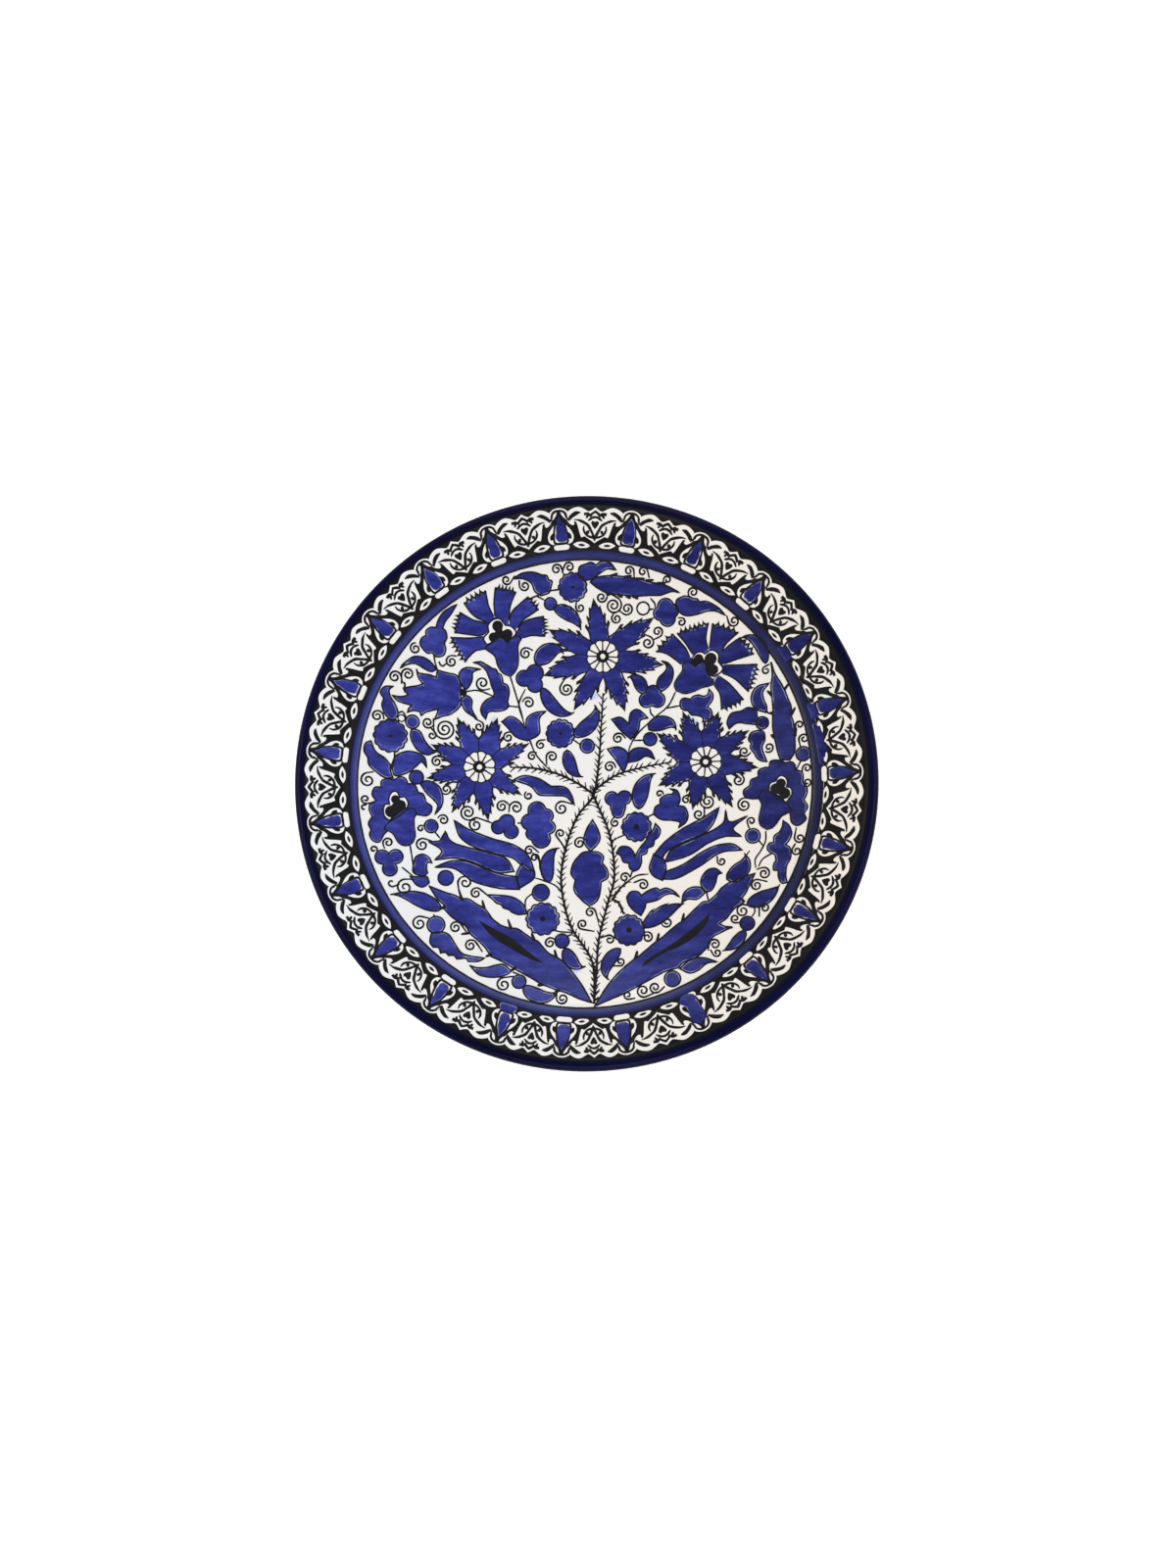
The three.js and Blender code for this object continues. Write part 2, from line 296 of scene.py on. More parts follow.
def cobalt_enamel(name):
    """Raised cobalt enamel: brush streaks, darker pools, a thin pale margin where it ends, and painted
    light: lighter on the left, darker on the right.
    """
    look = Look(name)
    streaks = look.noise(55, detail=5, roughness=0.65, stretch=(1, 3.2, 1))
    wash = look.ramp(streaks, [
        (0.28, srgb(27, 31, 100)),
        (0.5, srgb(43, 49, 133)),
        (0.74, srgb(66, 75, 170)),
    ])
    # painted light and shade: the wash is lighter on the left and darker on the right of the plate
    side = look.between(look.across(), -0.09, 0.09)
    lit_left_wash = look.multiply(wash, (1.26, 1.26, 1.24, 1))
    shaded_right = look.multiply(wash, (0.5, 0.5, 0.56, 1))
    side_lit_wash = look.mix(side, lit_left_wash, shaded_right)
    pooled = look.multiply(side_lit_wash, (0.55, 0.55, 0.62, 1))
    toned = look.mix(look.attribute("tone"), side_lit_wash, pooled)
    grain = look.grey_ramp(look.noise(420, detail=2), [(0.35, 0.82), (0.7, 1.1)])
    grained = look.multiply(toned, grain)
    missed = look.grey_ramp(look.noise(85, detail=4), [(0.5, 0), (0.6, 0.75)])
    margin = look.grey_ramp(look.attribute("edge"), [(0.55, 1), (0.8, 0)])
    pale = look.multiply(margin, missed)
    colour = look.mix(pale, grained, srgb(172, 180, 220))
    look.bump(look.noise(150, detail=3), 0.3, 0.0003)
    shine = look.grey_ramp(streaks, [(0.3, 0.24), (0.75, 0.42)])
    return look.finish(colour, shine, specular=0.28)


def black_ink(name):
    """Black line enamel that breaks to brown where it is thin."""
    look = Look(name)
    colour = look.ramp(look.noise(160, detail=4), [
        (0.3, srgb(13, 12, 17)),
        (0.6, srgb(22, 20, 25)),
        (0.8, srgb(36, 29, 28)),
    ])
    look.bump(look.noise(400, detail=2), 0.3, 0.0002)
    return look.finish(colour, 0.5, specular=0.15)


def highlight_glaze(name):
    """Painted highlight on white glaze: pale blue, clearest in the middle of each mark, over a white
    painted cool on the left and warm on the right.
    """
    look = Look(name)
    strength = look.grey_ramp(look.attribute("edge"), [(0.0, 0), (0.9, 1)])
    cloudy = look.grey_ramp(look.noise(90, detail=3), [(0.3, 0.6), (0.6, 1)])
    painted_highlight = look.multiply(strength, cloudy)
    # painted light: the white under the marks is cool on the left and warm on the right
    side = look.between(look.across(), -0.09, 0.12)
    side_lit_glaze = look.mix(side, srgb(236, 237, 237), srgb(235, 229, 220))
    colour = look.mix(painted_highlight, side_lit_glaze, srgb(184, 195, 238))
    return look.finish(colour, 0.16, coat=0.3)


def ring_band(name):
    """Cobalt ring with painted light and shade: a painted highlight along its middle, painted shade at
    its edges, and darker on the right.
    """
    look = Look(name)
    radius = look.radius()
    # painted highlight along the middle of the band and painted shade at its two edges
    across = look.ramp(look.between(radius, 0.1050, 0.1098), [
        (0.0, srgb(18, 20, 52)),
        (0.14, srgb(48, 54, 122)),
        (0.5, srgb(66, 74, 148)),
        (0.84, srgb(48, 54, 120)),
        (1.0, srgb(17, 19, 50)),
    ])
    patchy = look.grey_ramp(look.noise(40, detail=5), [(0.3, 0.6), (0.7, 1.1)])
    lit_and_brushed = look.multiply(across, patchy)
    # painted shade: the ring is darker on the right of the plate
    side = look.between(look.across(), -0.11, 0.11)
    shaded_right = look.multiply(lit_and_brushed, (0.24, 0.22, 0.22, 1))
    colour = look.mix(side, lit_and_brushed, shaded_right)
    look.bump(look.noise(120, detail=3), 0.3, 0.0003)
    shine = look.grey_ramp(look.noise(70), [(0.3, 0.24), (0.7, 0.4)])
    return look.finish(colour, shine, specular=0.28)


def rim_glaze(name):
    """Navy lip that comes out of the black ground of the border."""
    look = Look(name)
    outward = look.between(look.radius(), 0.1294, 0.1325)
    cloudy = look.ramp(look.noise(14, detail=4), [(0.3, srgb(4, 5, 36)), (0.7, srgb(10, 11, 52))])
    navy = look.grey_ramp(outward, [(0.1, 0), (0.9, 1)])
    colour = look.mix(navy, srgb(18, 18, 24), cloudy)
    look.bump(look.noise(90, detail=2), 0.2, 0.0003)
    shine = look.grey_ramp(look.noise(50), [(0.3, 0.26), (0.8, 0.4)])
    return look.finish(colour, shine, specular=0.06)


def border_black(name):
    """Printed black ground, slightly uneven."""
    look = Look(name)
    colour = look.ramp(look.noise(70, detail=5), [
        (0.3, srgb(15, 14, 15)),
        (0.65, srgb(25, 23, 24)),
        (0.85, srgb(36, 32, 31)),
    ])
    look.bump(look.noise(300, detail=2), 0.2, 0.0002)
    return look.finish(colour, 0.45, specular=0.12)


def bare_clay(name):
    """Unglazed biscuit clay: warm, rough and grainy."""
    look = Look(name)
    grain = look.noise(900, detail=5, roughness=0.7)
    base = look.ramp(look.noise(30, detail=4), [(0.3, srgb(205, 186, 160)), (0.7, srgb(226, 211, 188))])
    dark = look.grey_ramp(grain, [(0.35, 0.75), (0.6, 1.0)])
    colour = look.multiply(base, dark)
    look.bump(grain, 0.6, 0.0004)
    shine = look.grey_ramp(grain, [(0.3, 0.95), (0.7, 0.7)])
    return look.finish(colour, shine, specular=0.2)


# the white glazes carry painted light: cool on the left, warm on the right
FACE_GLAZE = white_glaze("face_white_glaze")
BACK_GLAZE = white_glaze("back_white_glaze", warm=3.0)
PRINT_WHITE = white_glaze("border_white")
COBALT = cobalt_enamel("cobalt_enamel")
INK = black_ink("black_line_ink")
# glaze of the painted highlights
HIGHLIGHT_GLAZE = highlight_glaze("painted_highlight_glaze")
RING = ring_band("cobalt_ring")
RIM = rim_glaze("navy_rim_glaze")
GROUND = border_black("border_black_print")
CLAY = bare_clay("bare_clay")

# ------------------------------------------------------------------ turned pieces

SEGMENTS = 288                               # facets round the plate


def mesh_object(name, points, faces, material, smooth=True):
    """Object with one mesh, from points in metres."""
    mesh = bpy.data.meshes.new(name)
    mesh.from_pydata([tuple(point) for point in points], [], faces)
    mesh.materials.append(material)
    mesh.polygons.foreach_set("use_smooth", [smooth] * len(mesh.polygons))
    mesh.update()
    made = bpy.data.objects.new(name, mesh)
    bpy.context.scene.collection.objects.link(made)
    return made


def turned(name, profile, material):
    """Closed turned body about the plate's axis, from (radius, height) points."""
    points = []
    faces = []
    count = len(profile)
    for segment in range(SEGMENTS):
        angle = TAU * segment / SEGMENTS
        for radius, height in profile:
            points.append((radius * math.cos(angle) * MM, radius * math.sin(angle) * MM, height * MM))
    for segment in range(SEGMENTS):
        here = segment * count
        there = ((segment + 1) % SEGMENTS) * count
        for index in range(count):
            following = (index + 1) % count
            faces.append((here + index, there + index, there + following, here + following))
    return mesh_object(name, points, faces, material)


def place(piece, nodes, slot):
    """Makes piece part of the plate, and the visible form of the CAD nodes if there are any."""
    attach(piece, "root")
    if nodes:
        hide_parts(*nodes)
    return piece


def radii(first, last, step):
    """Evenly spaced radii from first to last, about a step apart."""
    count = max(2, round(abs(last - first) / step) + 1)
    return [first + (last - first) * index / (count - 1) for index in range(count)]


def face_profile(inner, outer, low, high):
    """Section of a layer that follows the face between two heights above the clay."""
    across = radii(inner, outer, 3)
    top = [(radius, float(clay_height(radius)) + high) for radius in reversed(across)]
    bottom = [(radius, float(clay_height(radius)) + low) for radius in across]
    return bottom + top


# underside of the well, from the flange in to the foot ring
BACK_CURVE = [(108, underside(108)), (102, 17.75), (96, 15.2), (91, 12.4), (86, 9.8), (81, 8.1), (76, 7)]


def back_profile():
    """Glaze on the back, from under the lip down to the outer wall of the foot ring."""
    flange = [(radius, underside(radius)) for radius in radii(RIM_BAND_INNER, 110, 4)]
    line = flange + BACK_CURVE[:-1]
    near = [(radius, height - 0.1) for radius, height in line]
    near += [(76.6, 6.6), (76.3, 5.4), (76.2, 2.2)]
    far = [(radius, height - BACK_COAT) for radius, height in line]
    far += [(77.4, 6.1), (76.7, 5.0), (76.55, 2.2)]
    return near + far[::-1]


def drill_hanging_holes(piece):
    """Cuts the two small holes for a hanging wire through the foot ring."""
    for side in (-1, 1):
        x = side * HOLE_SPACING / 2
        y = math.sqrt(((FOOT_OUTER + FOOT_INNER) / 2) ** 2 - x**2)
        bpy.ops.mesh.primitive_cylinder_add(
            vertices=32, radius=HOLE_DIAMETER / 2 * MM, depth=DRILL_LENGTH * MM,
            location=(x * MM, y * MM, HOLE_HEIGHT * MM),
            rotation=(math.pi / 2, 0, -math.atan2(x, y)),
        )
        drill = bpy.context.active_object
        cut = piece.modifiers.new("hole", "BOOLEAN")
        cut.operation = "DIFFERENCE"
        cut.object = drill
        bpy.context.view_layer.update()
        evaluated = piece.evaluated_get(bpy.context.evaluated_depsgraph_get())
        drilled = bpy.data.meshes.new_from_object(evaluated)
        piece.modifiers.clear()
        piece.data = drilled
        bpy.data.objects.remove(drill)


def foot_section():
    """Clay section from the middle of the recess over the foot ring to its outer wall."""
    return [
        (0, RECESS_DEPTH), (FOOT_INNER - 3, RECESS_DEPTH), (FOOT_INNER - 1, RECESS_DEPTH - 0.6),
        (FOOT_INNER, RECESS_DEPTH - 2), (FOOT_INNER, 1), (FOOT_INNER + 0.3, 0.3), (FOOT_INNER + 1, 0),
        (FOOT_OUTER - 1, 0), (FOOT_OUTER - 0.3, 0.3), (FOOT_OUTER, 1), (FOOT_OUTER, 6.4),
    ]


def rim_section():
    """Section of the navy band, with its glaze 0.6 thick over the lip."""
    slope = math.tan(FLANGE_SLOPE)
    face = float(clay_height(RIM_BAND_INNER))
    back = underside(RIM_BAND_INNER)
    return [
        (RIM_BAND_INNER - 0.2, face - 0.2 * slope + 0.55),
        (RIM_BAND_INNER + 0.5, face + 0.5 * slope + 0.66),
        *lip_arc(COAT),
        (RIM_BAND_INNER, back - COAT),
        (RIM_BAND_INNER, back - 0.1),
        *lip_arc(0.1)[::-1],
        (RIM_BAND_INNER, face + 0.1),
    ]


def make_turned_pieces():
    """The clay, its coats of glaze and the ground of the border."""
    lip_under = (RIM_BAND_INNER, underside(RIM_BAND_INNER))
    face = [(radius, float(clay_height(radius))) for radius in radii(128, 0, 4)]
    clay = [*foot_section(), *BACK_CURVE[::-1], lip_under, *lip_arc(0)[::-1], *face]
    body = turned("clay_body_visual", clay, CLAY)
    drill_hanging_holes(body)
    place(body, ["clay_body"], "clay")

    coat = face_profile(0, 129.9, 0.1, COAT)
    place(turned("face_glaze_visual", coat, FACE_GLAZE), ["face_glaze"], "cream_glaze")

    back = turned("back_glaze_visual", back_profile(), BACK_GLAZE)
    drill_hanging_holes(back)
    place(back, ["back_glaze"], "cream_glaze")

    recess = [
        (0, RECESS_DEPTH - 0.1), (FOOT_INNER - 4.2, RECESS_DEPTH - 0.1),
        (FOOT_INNER - 3.6, RECESS_DEPTH - 0.35),
        (FOOT_INNER - 4, RECESS_DEPTH - 0.6), (0, RECESS_DEPTH - 0.6),
    ]
    place(turned("recess_glaze_visual", recess, BACK_GLAZE), ["recess_glaze"], "cream_glaze")

    place(turned("rim_band_visual", rim_section(), RIM), ["rim_band"], "navy_glaze")

    ground = face_profile(109.9, 130.2, COAT - 0.1, COAT + 0.05)
    place(turned("border_ground_visual", ground, GROUND), ["border_ground"], "black_print")


make_turned_pieces()

# ------------------------------------------------------------------ drawing on the glaze

SUNK = -0.05                                 # lift of the edges that reach into the glaze


def polar(angle, reach, centre=(0, 0)):
    """Point at a distance and angle from centre."""
    return (centre[0] + reach * math.cos(angle), centre[1] + reach * math.sin(angle))


def heading_of(start, end):
    """Angle in which end lies as seen from start."""
    return math.atan2(end[1] - start[1], end[0] - start[0])


def distance(start, end):
    """Distance between two points."""
    return math.hypot(end[0] - start[0], end[1] - start[1])


def between(start, end, share):
    """Point on the straight line from start to end."""
    return (start[0] + (end[0] - start[0]) * share, start[1] + (end[1] - start[1]) * share)


def on_spline(corners, t):
    """Point of the smooth curve between the second and third of four corners."""
    point = []
    for a, b, c, d in zip(*corners):
        square = 2 * a - 5 * b + 4 * c - d
        cube = 3 * b - a - 3 * c + d
        point.append(0.5 * (2 * b + (c - a) * t + square * t**2 + cube * t**3))
    return tuple(point)


def smooth(points, step=0.7):
    """Points along a smooth curve through the given ones."""
    if len(points) < 3:
        count = max(1, round(distance(points[0], points[-1]) / step))
        return [between(points[0], points[-1], index / count) for index in range(count + 1)]
    ends = [
        (2 * points[0][0] - points[1][0], 2 * points[0][1] - points[1][1]),
        (2 * points[-1][0] - points[-2][0], 2 * points[-1][1] - points[-2][1]),
    ]
    walk = [ends[0], *points, ends[1]]
    curve = []
    for corners in zip(walk, walk[1:], walk[2:], walk[3:]):
        count = max(2, math.ceil(distance(corners[1], corners[2]) / step))
        curve.extend(on_spline(corners, index / count) for index in range(count))
    curve.append(tuple(points[-1]))
    return curve


def outline(*arcs):
    """Closed outline of smooth arcs that meet in sharp corners.

    Each arc starts where the last one ended, so only the first one lists its start.
    """
    loop = []
    corner = None
    for arc in arcs:
        points = list(arc) if corner is None else [corner, *arc]
        corner = points[-1]
        loop.extend(smooth(points)[:-1])
    if distance(corner, loop[0]) > 0.3:
        loop.extend(smooth([corner, loop[0]])[:-1])
    return loop


def round_outline(points, step=0.7):
    """Closed outline that is smooth all the way round."""
    count = len(points)
    wrapped = [points[(index - 2) % count] for index in range(count + 5)]
    curve = smooth(wrapped, step)
    start = min(range(len(curve)), key=lambda index: distance(curve[index], points[0]))
    length = 0
    for here, there in zip(points, points[1:] + points[:1]):
        length += max(2, math.ceil(distance(here, there) / step))
    return curve[start:start + length]


def circle(centre, radius, step=0.6):
    """Points round a circle, about a step apart."""
    count = max(12, round(TAU * radius / step))
    return [polar(TAU * index / count, radius, centre) for index in range(count)]


class Layer:
    """A painted piece. Patches and strokes are laid on the glaze and end up in one mesh."""

    def __init__(self):
        self.points = []
        self.faces = []
        self.tones = []
        self.edges = []

    def lay(self, flat, lifts, faces, tone, edges):
        """Adds points given as (x, y) with their lift above the glaze."""
        flat = np.asarray(flat, float)
        heights = glaze_height(np.hypot(flat[:, 0], flat[:, 1])) + np.asarray(lifts, float)
        first = len(self.points)
        self.points.extend(map(tuple, np.column_stack((flat, heights)) * MM))
        self.faces.extend(tuple(first + index for index in face) for face in faces)
        self.tones.extend([tone] * len(flat))
        self.edges.extend(edges)

    def piece(self, name, material, nodes, slot):
        """Turns the layer into one piece, which stands for the CAD nodes if there are any."""
        made = mesh_object(name, self.points, self.faces, material)
        for key, values in (("tone", self.tones), ("edge", self.edges)):
            attribute = made.data.attributes.new(key, "FLOAT", "POINT")
            attribute.data.foreach_set("value", values)
        return place(made, nodes, slot)

    def enamel_node(self, name):
        """Turns the layer into the raised enamel of one CAD node."""
        return self.piece(name + "_visual", COBALT, [name], "cobalt_enamel")


def inside(points, loops):
    """Which points lie inside an odd number of the loops."""
    within = np.zeros(len(points), bool)
    x, y = points[:, 0:1], points[:, 1:2]
    for loop in loops:
        start = np.asarray(loop, float)
        end = np.roll(start, -1, axis=0)
        crosses = (start[:, 1] > y) != (end[:, 1] > y)
        rise = np.where(end[:, 1] == start[:, 1], 1e-9, end[:, 1] - start[:, 1])
        at = start[:, 0] + (y - start[:, 1]) * (end[:, 0] - start[:, 0]) / rise
        within ^= (np.sum(crosses & (x < at), axis=1) % 2).astype(bool)
    return within


def edge_distance(points, loops):
    """Distance from each point to the nearest loop."""
    nearest = np.full(len(points), 1e9)
    for loop in loops:
        start = np.asarray(loop, float)
        along = np.roll(start, -1, axis=0) - start
        length = np.maximum(np.sum(along**2, axis=1), 1e-12)
        offset = points[:, None, :] - start[None]
        share = np.clip(np.sum(offset * along, axis=2) / length, 0, 1)
        gap = offset - share[..., None] * along
        nearest = np.minimum(nearest, np.sqrt(np.sum(gap**2, axis=2)).min(axis=1))
    return nearest


def rows_of_points(border, spacing):
    """Staggered rows of points over the rectangle round the border."""
    low, high = border.min(axis=0) - spacing, border.max(axis=0)
    rows = []
    for row, y in enumerate(np.arange(low[1], high[1] + spacing, spacing * 0.87)):
        shift = 0.5 * spacing * (row % 2)
        rows.extend((x + shift, y) for x in np.arange(low[0], high[0] + spacing, spacing))
    return np.asarray(rows, float)


def offset_both_ways(loop, gap):
    """Points at a gap to the left and to the right of each point of the loop."""
    points = np.asarray(loop, float)
    along = np.roll(points, -1, axis=0) - np.roll(points, 1, axis=0)
    along /= np.maximum(np.hypot(along[:, 0], along[:, 1]), 1e-9)[:, None]
    normal = np.column_stack((-along[:, 1], along[:, 0]))
    return [*(points + normal * gap), *(points - normal * gap)]


def inner_points(points, loops, gap):
    """The points that lie inside the loops and more than a gap away from them."""
    points = points[inside(points, loops)]
    return points[edge_distance(points, loops) > gap]


def fill(layer, loops, rise=0.1, lift=0.04, bevel=0.95, tone=None, spacing=2.2):
    """Lays a patch of enamel with a rounded edge inside the loops. A loop inside another one is a gap.

    Lift is the height of the edge above the glaze, and rise how much the middle stands above the edge.
    """
    if tone is None:
        tone = rng.uniform(0.0, 0.45)
    outlines = []
    edges = []
    for loop in loops:
        first = len(outlines)
        outlines.extend(loop)
        edges.extend((first + index, first + (index + 1) % len(loop)) for index in range(len(loop)))
    border = np.asarray(outlines, float)
    grid = inner_points(rows_of_points(border, spacing), loops, 1.3 * bevel)
    shoulder = np.asarray([point for loop in loops for point in offset_both_ways(loop, bevel)], float)
    shoulder = inner_points(shoulder, loops, 0.8 * bevel)
    points = [Vector(point) for point in np.vstack((border, shoulder, grid))]
    net = delaunay_2d_cdt(points, edges, [], 0, 1e-5)
    flat = np.array([(point.x, point.y) for point in net[0]])
    triangles = np.array(net[2])
    triangles = triangles[inside(flat[triangles].mean(axis=1), loops)]
    gap = edge_distance(flat, loops)
    slope = np.clip(gap / bevel, 0, 1)
    lifts = lift + rise * (1 - (1 - slope) ** 2)
    layer.lay(flat, lifts, triangles.tolist(), tone, slope.tolist())
    for loop in loops:
        skirt = np.asarray(loop, float)
        count = len(skirt)
        walls = [(i, (i + 1) % count, count + (i + 1) % count, count + i) for i in range(count)]
        heights = [lift] * count + [SUNK] * count
        layer.lay(np.vstack((skirt, skirt)), heights, walls, tone, [0.0] * (2 * count))


def stroke(layer, path, width, taper=(0.5, 0.5), closed=False, lift=0.06, rise=0.07, wobble=0.12):
    """Lays a drawn line along the path. Taper is the share of the width left at its two ends.

    Its width swells and shrinks a little by the share called wobble, as a hand-held brush does.
    """
    points = np.asarray(path, float)
    gaps = np.hypot(*(np.roll(points, -1, axis=0) - points).T)
    keep = gaps > 0.03
    if not closed:
        keep[-1] = True
    points = points[keep]
    count = len(points)
    ahead = np.roll(points, -1, axis=0) - points
    behind = points - np.roll(points, 1, axis=0)
    if not closed:
        ahead[-1] = behind[-1]
        behind[0] = ahead[0]
    ahead /= np.hypot(ahead[:, 0], ahead[:, 1])[:, None]
    behind /= np.hypot(behind[:, 0], behind[:, 1])[:, None]
    middle = ahead + behind
    size = np.hypot(middle[:, 0], middle[:, 1])
    middle = np.where(size[:, None] > 0.2, middle / np.maximum(size, 1e-6)[:, None], ahead)
    normal = np.column_stack((-middle[:, 1], middle[:, 0]))
    side = np.column_stack((-ahead[:, 1], ahead[:, 0]))
    miter = 1 / np.clip(np.sum(normal * side, axis=1), 0.6, 1)
    along = np.concatenate(([0], np.cumsum(np.hypot(*np.diff(points, axis=0).T))))
    share = along / along[-1]
    widths = np.full(count, float(width))
    if not closed:
        swell = np.minimum(1, np.minimum(
            taper[0] + (1 - taper[0]) * share / 0.25,
            taper[1] + (1 - taper[1]) * (1 - share) / 0.25,
        ))
        widths *= swell
    phase = rng.uniform(0, TAU)
    widths *= 1 + wobble * np.sin(along * 0.9 + phase) * np.sin(along * 0.31 + 2 * phase)
    half = (0.5 * widths * miter)[:, None]
    flat = np.vstack((
        points + normal * half,
        points + normal * half * 0.8,
        points - normal * half * 0.8,
        points - normal * half,
    ))
    low = [SUNK] * count
    high = [lift + rise] * count
    lifts = low + high + high + low
    faces = []
    last = count if closed else count - 1
    for index in range(last):
        following = (index + 1) % count
        for lane in range(3):
            near, far = lane * count, (lane + 1) * count
            faces.append((near + index, far + index, far + following, near + following))
    if not closed:
        faces.append((0, 3 * count, 2 * count, count))
        faces.append((count - 1, 2 * count - 1, 3 * count - 1, 4 * count - 1))
    layer.lay(flat, lifts, faces, rng.random(), [1.0] * len(flat))


# ------------------------------------------------------------------ printed border

REPEATS = 23
BORDER_CENTRE = (-1.2, 0)                    # the print was laid a little off the plate's axis
FIRST_DROP = math.radians(10.4)              # clockwise from the top
WIDE_STEPS = range(5, 10)                    # repeats that are spread out
WIDE_STEP = math.radians(16.45)
TIGHT_STEPS = range(10, 12)                  # repeats that are squeezed in
TIGHT_STEP = math.radians(13.55)
EVEN_STEPS = REPEATS - len(WIDE_STEPS) - len(TIGHT_STEPS)
EVEN_STEP = (TAU - len(WIDE_STEPS) * WIDE_STEP - len(TIGHT_STEPS) * TIGHT_STEP) / EVEN_STEPS
DRAWN_AT = 117.5                             # radius where sideways distances in the border are true


def border_step(repeat):
    """Angle from one drop to the next. The repeats are uneven before the join of the print."""
    if repeat in WIDE_STEPS:
        return WIDE_STEP
    return TIGHT_STEP if repeat in TIGHT_STEPS else EVEN_STEP


class Border:
    """One repeat of the border, in (sideways, radius) coordinates about its own axis.

    Hand is 1 as drawn and -1 for the mirror image on the other side of the axis.
    """

    def __init__(self, repeat, half_step=False):
        step = border_step(repeat)
        turn = FIRST_DROP + sum(border_step(index) for index in range(repeat))
        self.heading = math.pi / 2 - turn - (step / 2 if half_step else 0)
        self.stretch = step / EVEN_STEP if half_step else 1
        self.hand = 1

    def map(self, points):
        """Points on the plate for (sideways, radius) points."""
        turn = self.hand * self.stretch
        return [polar(self.heading - turn * x / DRAWN_AT, radius, BORDER_CENTRE) for x, radius in points]


def mirrored(points):
    """The points on the other side of the border's axis."""
    return [(-x, radius) for x, radius in points]


# right halves of the printed shapes, from the axis round to the axis
PALMETTE_HALF = [
    (0, 128.9), (1.6, 127.7), (3.0, 127.1), (5.1, 128.3), (7.0, 129.1), (8.9, 128.9), (10.8, 128.1),
    (12.2, 126.9), (12.7, 125.2), (12.6, 123.4), (11.3, 121.6), (10.0, 121.0), (8.5, 121.8), (7.8, 120.3),
    (7.3, 118.2), (6.3, 115.4), (5.0, 115.9), (3.7, 115.2), (1.6, 113.9), (0, 112.8),
]
ARCH_HALF = [
    (0, 129.1), (1.7, 128.8), (3.3, 127.9), (4.4, 126.5), (4.7, 125.0), (4.5, 123.9),
    (3.2, 123.9), (2.3, 124.4), (0, 125.4),
]
ONION_HALF = [
    (0, 125.2), (1.3, 123.2), (2.9, 121.2), (4.8, 119.0), (5.9, 117.0), (6.1, 115.3),
    (5.4, 113.6), (4.0, 112.8),
]
BASE_HALF = [(0, 112.3), (2.4, 112.4), (3.7, 112.0), (3.7, 110.9), (2.9, 110.1), (0, 110.0)]
DROP_HALF = [
    (0, 125.4), (0.9, 123.7), (1.6, 121.9), (2.2, 120.0), (2.5, 118.2), (2.8, 116.3),
    (2.6, 114.8), (1.5, 113.7),
]
HEART_HALF = [(0, 122.5), (1.1, 123.0), (2.0, 122.1), (1.4, 120.6), (0, 118.8)]
ALMOND = (-6.25, 111.9)                      # middle of the almond beside a palmette's foot


def print_white(layer, border, half, lift=0.08):
    """White printed shape from the outline of its right half."""
    side = smooth(half, 0.8)
    fill(layer, [border.map(side + mirrored(side)[::-1])], rise=0.05, lift=lift, bevel=0.3, spacing=4)


def print_lines(layer, border, lines):
    """Black printed strokes, each (width, taper, points), drawn on both sides of the axis."""
    for hand in (1, -1):
        border.hand = hand
        for width, taper, points in lines:
            stroke(layer, border.map(smooth(points, 0.6)), width, taper, lift=0.12, rise=0.05)
    border.hand = 1


def oval(centre, half_length, half_height, tilt, point, corners=18):
    """Oval whose ends are drawn out to points by the share given."""
    loop = []
    for index in range(corners):
        angle = TAU * index / corners
        pinch = 1 - point + point * abs(math.sin(angle))
        along = math.cos(angle)
        up = tilt * along + half_height * pinch * math.sin(angle)
        loop.append((centre[0] + half_length * along, centre[1] + up))
    return loop


def palmette(white, ink, border):
    """White palmette with its crown, eyes and crossing strokes, and an almond at each side."""
    print_white(white, border, PALMETTE_HALF)
    print_lines(ink, border, [
        (1.5, (1, 1), [(-0.2, 127.2), (1.3, 126.1), (2.5, 124.8)]),
        (1.7, (1, 1), [(2.4, 125.2), (3.3, 126.0), (5.0, 125.8)]),
        (1.5, (1, 0.5), [(3.2, 125.8), (3.9, 123.9)]),
        (1.4, (1, 0.4), [(-0.1, 124.6), (1.4, 124.2), (3.2, 122.8)]),
        (1.6, (0.3, 1), [(9.5, 123.5), (7.2, 123.1), (4.9, 122.0), (3.1, 120.7), (2.0, 118.8),
                         (1.0, 116.9), (0.2, 115.0)]),
        (1.35, (0.5, 1), [(5.0, 120.6), (5.2, 118.8), (4.2, 116.8), (2.6, 115.7), (0.2, 115.2)]),
        (1.8, (0.8, 0.3), [(3.2, 118.5), (3.3, 117.6), (4.0, 116.9)]),
        (2.2, (0.3, 0.5), [(6.5, 126.6), (8.5, 126.3), (10.6, 124.9), (12.1, 123.1)]),
        (1.4, (1, 0.3), [(8.7, 121.4), (9.2, 122.8)]),
    ])
    heart = HEART_HALF + mirrored(HEART_HALF)[::-1][1:-1]
    fill(ink, [border.map(heart)], rise=0.05, lift=0.12, bevel=0.3, spacing=4)
    stroke(ink, border.map([(0, 115.5), (0, 114.7), (0, 113.8)]), 1.7, (1, 0.5), lift=0.12, rise=0.05)
    for hand in (1, -1):
        border.hand = hand
        almond = border.map(oval(ALMOND, 4.1, 1.5, -0.4, 0.8))
        kernel = border.map(oval(ALMOND, 1.8, 0.6, -0.15, 0.5))
        fill(white, [almond], rise=0.05, lift=0.08, bevel=0.3, spacing=4)
        fill(ink, [kernel], rise=0.04, lift=0.13, bevel=0.2, spacing=4)
    border.hand = 1


